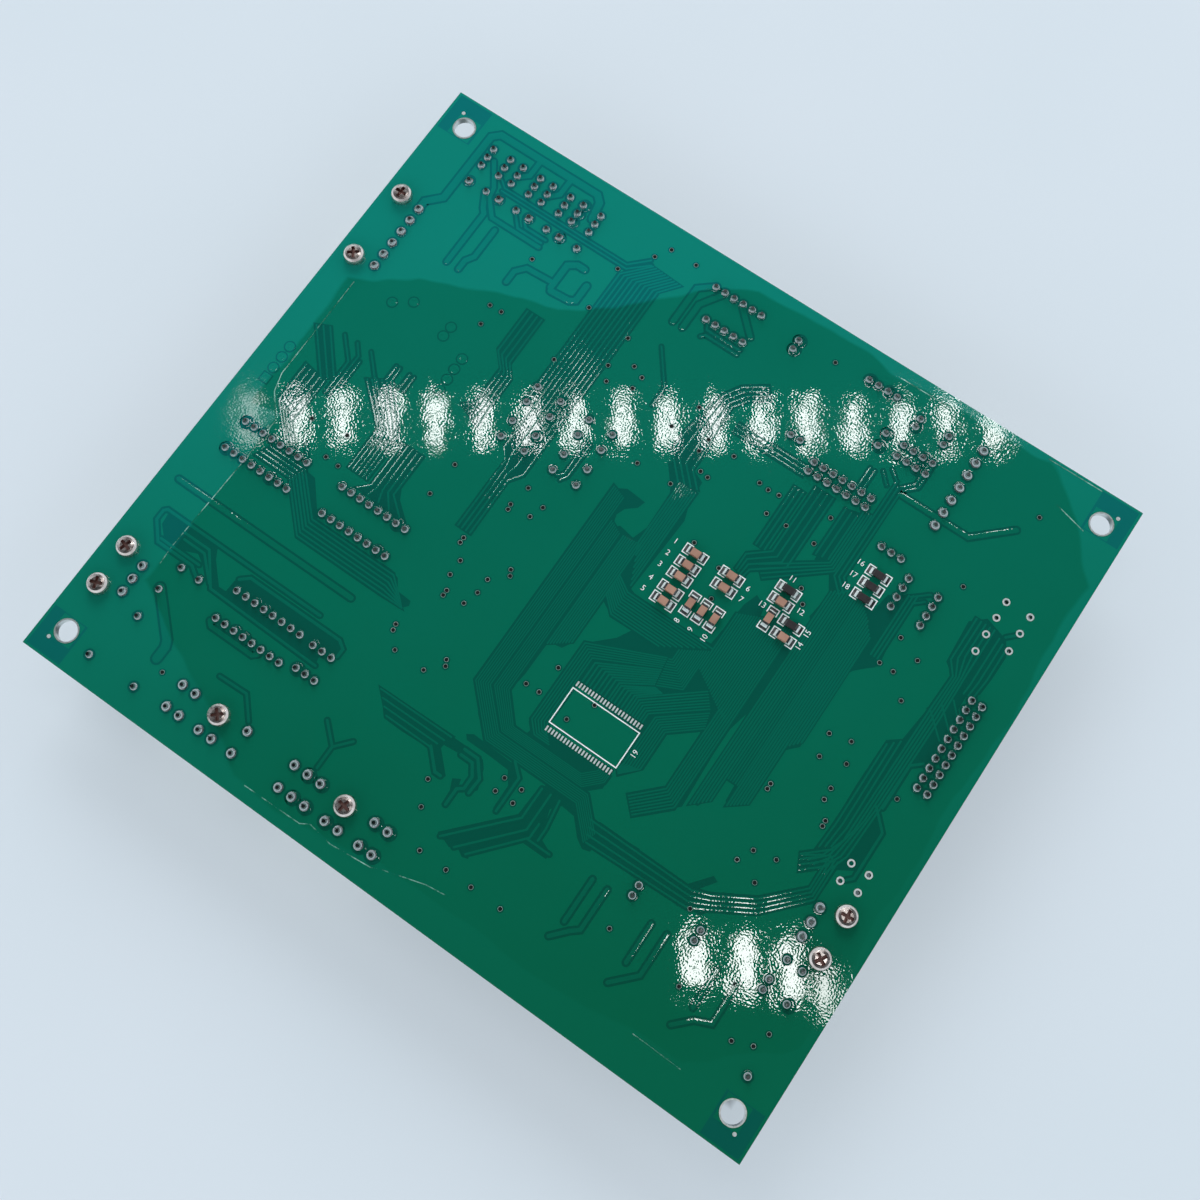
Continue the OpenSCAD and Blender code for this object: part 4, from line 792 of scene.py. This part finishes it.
def ring_model(foot):
    """A flat ring that rises a little to the foot of a joint."""
    ring = disc_model(20, foot + 0.5, [(0.24, 0), (0.16, 0.012), (0.2, 0.05)])
    bpy.ops.mesh.delete(type="FACE")
    bpy.ops.object.mode_set(mode="OBJECT")
    bpy.ops.object.shade_smooth()
    ring.data.materials.append(GAP)
    return ring


def lay_rings():
    """Darker gaps round the solder joints."""
    places = middles("solder_joints", SOLDER_Z + 0.6 * MM, 0.9)
    feet = joint_feet(places)
    rings = [copies(ring_model(foot), [p for p, f in zip(places, feet) if f == foot], RING_RISE)
             for foot in sorted(set(feet))]
    laid(joined("joint_gaps", rings))


def covered_pad(sides, radius):
    """A pad under the mask: a darker gap, a low step up and a filled hole."""
    steps = [(0.3, 0), (0.12, 0.02), (0.45, 0.003), (0.12, -0.02)]
    pad = disc_model(sides, radius, steps, QUARTER_TURN / 2)
    bpy.ops.object.mode_set(mode="OBJECT")
    pad.data.materials.append(MASK)
    pad.data.materials.append(GAP)
    for face in pad.data.polygons:
        face.material_index = int(face.center.z < 0.001 * MM and face.center.xy.length > 0.5 * radius * MM)
    return pad


def lay_covered_pads():
    pads = [copies(covered_pad(4, 1.9), [Vector(p) * MM for p in COVERED_SQUARE], RING_RISE),
            copies(covered_pad(20, 1.45), [Vector(p) * MM for p in COVERED_ROUND], RING_RISE + LAYER)]
    laid(joined("covered_pads", pads))


def copies(model, places, rise):
    """Copies a model to places on the solder side, each with its own mesh, as one piece."""
    made = []
    for i, place in enumerate(places):
        one = model.copy()
        one.data = model.data.copy()
        bpy.context.scene.collection.objects.link(one)
        one.data.transform(Matrix.Translation((place[0], place[1], SOLDER_Z + (rise + i % 3 * LAYER) * MM)))
        one.matrix_world = Matrix.Identity(4)
        made.append(one)
    bpy.data.objects.remove(model)
    return joined("copies", made)


def lay_vias():
    """Tinned rings with a dark disc of painted shade in the hole, in a darker gap."""
    via = disc_model(16, 0.85, [(0.3, 0), (0.05, 0.03), (0.05, 0.002), (0.06, -0.024)])
    bpy.ops.object.mode_set(mode="OBJECT")
    for material in (GAP, VIA_RIM, HOLE_SHADE):
        via.data.materials.append(material)
    for face in via.data.polygons:
        reach = face.center.xy.length
        face.material_index = 2 if reach < VIA_HOLE * MM else 1 if reach < VIA_RADIUS * MM else 0
    vias = copies(via, [(x * MM, y * MM) for x, y in VIAS], RING_RISE + 3 * LAYER)
    vias.name = "vias"
    laid(vias)


# Chip parts on the solder side: middle, and whether they stand along Y
CHIPS = [(17.1, y, False) for y in (18.18, 14.94, 11.79, 8.13, 5.06)] + [(26.6, y, False) for y in (18.43, 15.19)]
CHIPS += [(x, 7.97, True) for x in (22.42, 25.56, 28.79)]
CHIPS += [(38.86, 22.83, False), (38.86, 19.67, False), (38.57, 14.94, True), (43.51, 13.2, False),
          (43.51, 16.6, False)]
CHIPS += [(53.49, y, False) for y in (37.18, 34.03, 30.79)]
# Printed frame of a chip part: length and width, and half the gap in its long sides
CHIP_FRAME = (5.75, 2.35)
FRAME_GAP = 1.2
# Empty memory place: edges of its printed frame
MEMORY_FRAME = (11.7, 29.3, -31.3, -22.2)
# Numbers beside the chip parts: middle, and whether they read along Y
NUMBER_SIZE = 1.89
NUMBERS = [(11.8, y, False) for y in (18.18, 14.94, 11.79, 8.13, 5.06)] + [(31.2, y, False) for y in (18.1, 15.2)]
NUMBERS += [(x, 3.2, True) for x in (22.1, 25.7, 29.3)]
NUMBERS += [(38.2, 25.6, False), (43.6, 20.3, False), (35.7, 16.9, False), (47.6, 13.6, True), (47.6, 16.9, True)]
NUMBERS += [(48.7, y, False) for y in (37.4, 34.2, 31)] + [(31, -26.6, True)]


def chip_frame(x, y, along_y):
    """Two printed brackets round a chip part."""
    half_l, half_w = CHIP_FRAME[0] / 2, CHIP_FRAME[1] / 2
    lines = []
    for side in (-1, 1):
        corners = [(side * FRAME_GAP, half_w), (side * half_l, half_w), (side * half_l, -half_w),
                   (side * FRAME_GAP, -half_w)]
        lines.append((PRINT_LINE, [(x - v, y + u) if along_y else (x + u, y + v) for u, v in corners]))
    return lines


def number(value, x, y, along_y):
    """A plain number in white print."""
    text = bpy.data.curves.new("number", "FONT")
    text.body = str(value)
    text.size = NUMBER_SIZE * MM
    text.align_x = text.align_y = "CENTER"
    text.resolution_u = 2
    return as_mesh("number", text, PRINT_RISE, INK, (x, y), QUARTER_TURN if along_y else 0.0)


def lay_print():
    """White frames round the chip parts and the empty memory place, and plain numbers."""
    left, right, low, high = MEMORY_FRAME
    lines = [line for chip in CHIPS for line in chip_frame(*chip)]
    lines.append((PRINT_LINE, [((left + right) / 2, low), (left, low), (left, high), (right, high), (right, low),
                               ((left + right) / 2, low)]))
    marks = [swept("frames", lines, FLAT, PRINT_RISE, INK)]
    marks += [number(i + 1, *place) for i, place in enumerate(NUMBERS)]
    laid(joined("print", marks))


# Edge of the clear coat where it ends in a ridge: width, and the points of the lines
RIDGE_WIDTH = 0.22
COAT_RIDGES = [
    [(-86.3, 28), (-86.3, 0), (-85, -4.5), (-82, -8), (-80.4, -10), (-80.4, -22), (-81.3, -47), (-81, -52)],
    [(-34.8, -79.9), (-20, -79.6), (-18, -78.4), (-12, -79.3), (-1.8, -78.3), (0.5, -77.3), (5, -76), (10, -74.5),
     (14.7, -73.9)],
    [(33, 80), (47, 80.2)],
    [(71, 82.2), (85, 82.3)],
    [(78, 73.8), (86, 71.8)],
    [(63, -74.4), (75, -74.6)],
]


def lay_ridges():
    # The ridges carry painted glints
    lines = [(RIDGE_WIDTH, points) for points in COAT_RIDGES]
    laid(swept("coat_ridges", lines, ROUNDED, TRACK_RISE, RIDGE_GLINT))


# Corners without copper: edges of the squares, as distances from the board's middle, and half the opening for the rim
CORNER_X = (85, 94.3)
CORNER_Y = (72.3, 82.4)
RIM_OPENING = 2.95


def lay_corners():
    """Flat teal squares round the corner holes."""
    width, middle = CORNER_Y[1] - CORNER_Y[0], sum(CORNER_Y) / 2
    left, right = HOLE_MIDDLE[0] - RIM_OPENING, HOLE_MIDDLE[0] + RIM_OPENING
    below, above = HOLE_MIDDLE[1] - RIM_OPENING, HOLE_MIDDLE[1] + RIM_OPENING
    lines = []
    for sx in (-1, 1):
        for sy in (-1, 1):
            lines += [(width, [(sx * a, sy * middle), (sx * b, sy * middle)])
                      for a, b in ((CORNER_X[0], left), (right, CORNER_X[1]))]
            lines += [(high - low, [(sx * left, sy * (low + high) / 2), (sx * right, sy * (low + high) / 2)])
                      for low, high in ((CORNER_Y[0], below), (above, CORNER_Y[1]))]
    laid(swept("corner_squares", lines, FLAT, CORNER_RISE, CORNER))


# Stage and light

FLOOR_COLOUR = srgb(167, 174, 180)
FLOOR_GLOW = 0.52
# Painted shadow: the floor's colour under the board
FLOOR_SHADE = srgb(60, 66, 68)
# Half sides of the places under the board, in millimetres, over which the painted shadow under the board gives way to
# open air, and over which the floor starts to glow
PAINTED_SHADOW_EDGE = ((76, 91), (62, 77))
GLOW_EDGE = ((89, 91), (75, 77))


def board_point(px, py):
    """The point of the solder side that the photo shows at a pixel."""
    ray = LOOK * FOCAL_PX + RIGHT * (px - PHOTO_SIDE / 2) + UP * (PHOTO_SIDE / 2 - py)
    return CAMERA_AT + ray * ((SOLDER_Z - CAMERA_AT.z) / ray.z)


def mirrored_point(px, py, height):
    """Where the board, as a mirror, shows a plane at a height above it, for a pixel of the photo."""
    point = board_point(px, py)
    off = point - CAMERA_AT
    return Vector((point.x, point.y, SOLDER_Z)) + Vector((off.x, off.y, -off.z)) * (height / -off.z)


# Ceiling panels, by the pixels where the coat mirrors them: middle x, middle y, width, height, share of the light
PANEL_HEIGHT = 1.0
PANEL_LIGHT = 24
PANELS = [(250 + 46.5 * i, 418 + 0.5 * i, 14, 50, 1 if i else 0.4) for i in range(17)]
PANELS += [(697, 960, 20, 58, 1), (745, 963, 22, 62, 1), (790, 970, 22, 62, 1), (826, 990, 18, 46, 0.8)]


def add_panels():
    """Ceiling panels where the coat mirrors them as in the photo."""
    for px, py, wide, high, share in PANELS:
        middle = mirrored_point(px, py, PANEL_HEIGHT)
        across = mirrored_point(px + wide / 2, py, PANEL_HEIGHT) - mirrored_point(px - wide / 2, py, PANEL_HEIGHT)
        along = mirrored_point(px, py - high / 2, PANEL_HEIGHT) - mirrored_point(px, py + high / 2, PANEL_HEIGHT)
        add_panel(middle, across, along, PANEL_LIGHT * share)


def standing(place, x, y, z):
    """Where a thing stands, and the ways of its axes."""
    return Matrix.Translation(place) @ Matrix((x, y, z)).transposed().to_4x4()


def add_panel(middle, across, along, radiance):
    """A flat rectangular lamp by its middle and its two side vectors; it shines away from across x along."""
    data = bpy.data.lights.new("panel", "AREA")
    data.shape = "RECTANGLE"
    data.size, data.size_y = across.length, along.length
    data.energy = radiance * 3.1416 * across.length * along.length
    x, z = across.normalized(), across.cross(along).normalized()
    shown("panel", data).matrix_world = standing(middle, x, z.cross(x), z)


# Side light: the way it comes from, the angle it spreads over, and its strength
WINDOW_AT = (-0.75, 1.1, 0.55)
WINDOW_SPREAD = 0.55
WINDOW_LIGHT = 1.65


def add_window_light():
    """Soft light from one side, even over the table, that the gloss doesn't mirror."""
    data = bpy.data.lights.new("window_light", "SUN")
    data.angle, data.energy = WINDOW_SPREAD, WINDOW_LIGHT
    lamp = shown("window_light", data)
    lamp.rotation_euler = Vector(WINDOW_AT).to_track_quat("Z", "Y").to_euler()
    lamp.visible_glossy = False


def add_floor():
    """Pale table top, with a painted shadow under the board, where it shows through the holes."""
    bpy.ops.object.select_all(action="DESELECT")
    bpy.ops.mesh.primitive_plane_add(size=8)
    floor = bpy.context.object
    floor.name = "floor"
    f = Finish("table_top", FLOOR_COLOUR, 0.55)
    f.shader.inputs["Emission Color"].default_value = (*srgb(209, 218, 226), 1)
    off = [f.maths("ABSOLUTE", f.axis(letter), 0) for letter in "XY"]
    beside, out_of_painted_shadow = [f.maths("MAXIMUM", *[f.ranged(away, a * MM, b * MM) for away, (a, b) in zip(off, edges)])
                        for edges in (GLOW_EDGE, PAINTED_SHADOW_EDGE)]
    plain = f.clouds(120, 2.0, 0.3, 0.7, FLOOR_COLOUR, srgb(162, 171, 177))
    # Painted shadow under the board, fading out beyond its edges
    f.colour(f.mixed(out_of_painted_shadow, FLOOR_SHADE, plain))
    # No glow under the board, which keeps the painted shadow dark
    glow = f.maths("MULTIPLY", f.maths("MULTIPLY", seen_directly(f.tree), beside), FLOOR_GLOW)
    f.link(glow, f.shader, "Emission Strength")
    floor.data.materials.append(f.material)


def seen_directly(tree):
    """1 for what the camera sees, also in metal and through glass, and 0 for light that falls on things."""
    path = tree.nodes.new("ShaderNodeLightPath")
    seen = path.outputs["Is Camera Ray"]
    for ray in ("Is Glossy Ray", "Is Transmission Ray"):
        add = tree.nodes.new("ShaderNodeMath")
        add.operation, add.use_clamp = "ADD", True
        tree.links.new(seen, add.inputs[0])
        tree.links.new(path.outputs[ray], add.inputs[1])
        seen = add.outputs["Value"]
    return seen


# Room: pale walls up to a height, as the sine of the angle, and a dim ceiling; as light, and as they are seen
WALL_LIGHT = 2.1
WALL_SEEN = 0.92
CEILING_LIGHT = 0.04
WALL_TOP = (0.45, 0.68)


def add_world():
    """Soft light from the walls; the camera and the metal see them as a plain pale backdrop."""
    world = bpy.data.worlds.new("room")
    bpy.context.scene.world = world
    world.use_nodes = True
    tree = world.node_tree
    background = tree.nodes["Background"]
    background.inputs["Color"].default_value = (0.84, 0.93, 1, 1)
    place = tree.nodes.new("ShaderNodeTexCoord")
    height = tree.nodes.new("ShaderNodeSeparateXYZ")
    wall = tree.nodes.new("ShaderNodeMapRange")
    level = tree.nodes.new("ShaderNodeMapRange")
    level.interpolation_type = "SMOOTHSTEP"
    for node, settings in ((wall, {"To Min": WALL_LIGHT, "To Max": WALL_SEEN}),
                           (level, {"From Min": WALL_TOP[0], "From Max": WALL_TOP[1], "To Max": CEILING_LIGHT})):
        for socket, value in settings.items():
            node.inputs[socket].default_value = value
    tree.links.new(seen_directly(tree), wall.inputs["Value"])
    tree.links.new(wall.outputs["Result"], level.inputs["To Min"])
    tree.links.new(place.outputs["Generated"], height.inputs["Vector"])
    tree.links.new(height.outputs["Z"], level.inputs["Value"])
    tree.links.new(level.outputs["Result"], background.inputs["Strength"])


def add_camera():
    """The photo's camera."""
    data = bpy.data.cameras.new("camera")
    data.sensor_width = 36
    data.lens = FOCAL_PX / PHOTO_SIDE * data.sensor_width
    data.clip_start, data.clip_end = 0.01, 20
    camera = shown("camera", data)
    camera.matrix_world = standing(CAMERA_AT, RIGHT, UP, -LOOK)
    bpy.context.scene.camera = camera


dress_nodes()
lay_corners()
lay_rings()
lay_tracks()
lay_vias()
lay_covered_pads()
lay_print()
lay_ridges()
for shape in (FLAT, ROUNDED, LOW, SOFT):
    bpy.data.objects.remove(shape)

add_camera()
add_floor()
add_world()
add_panels()
add_window_light()
bpy.context.scene.view_settings.view_transform = "Standard"
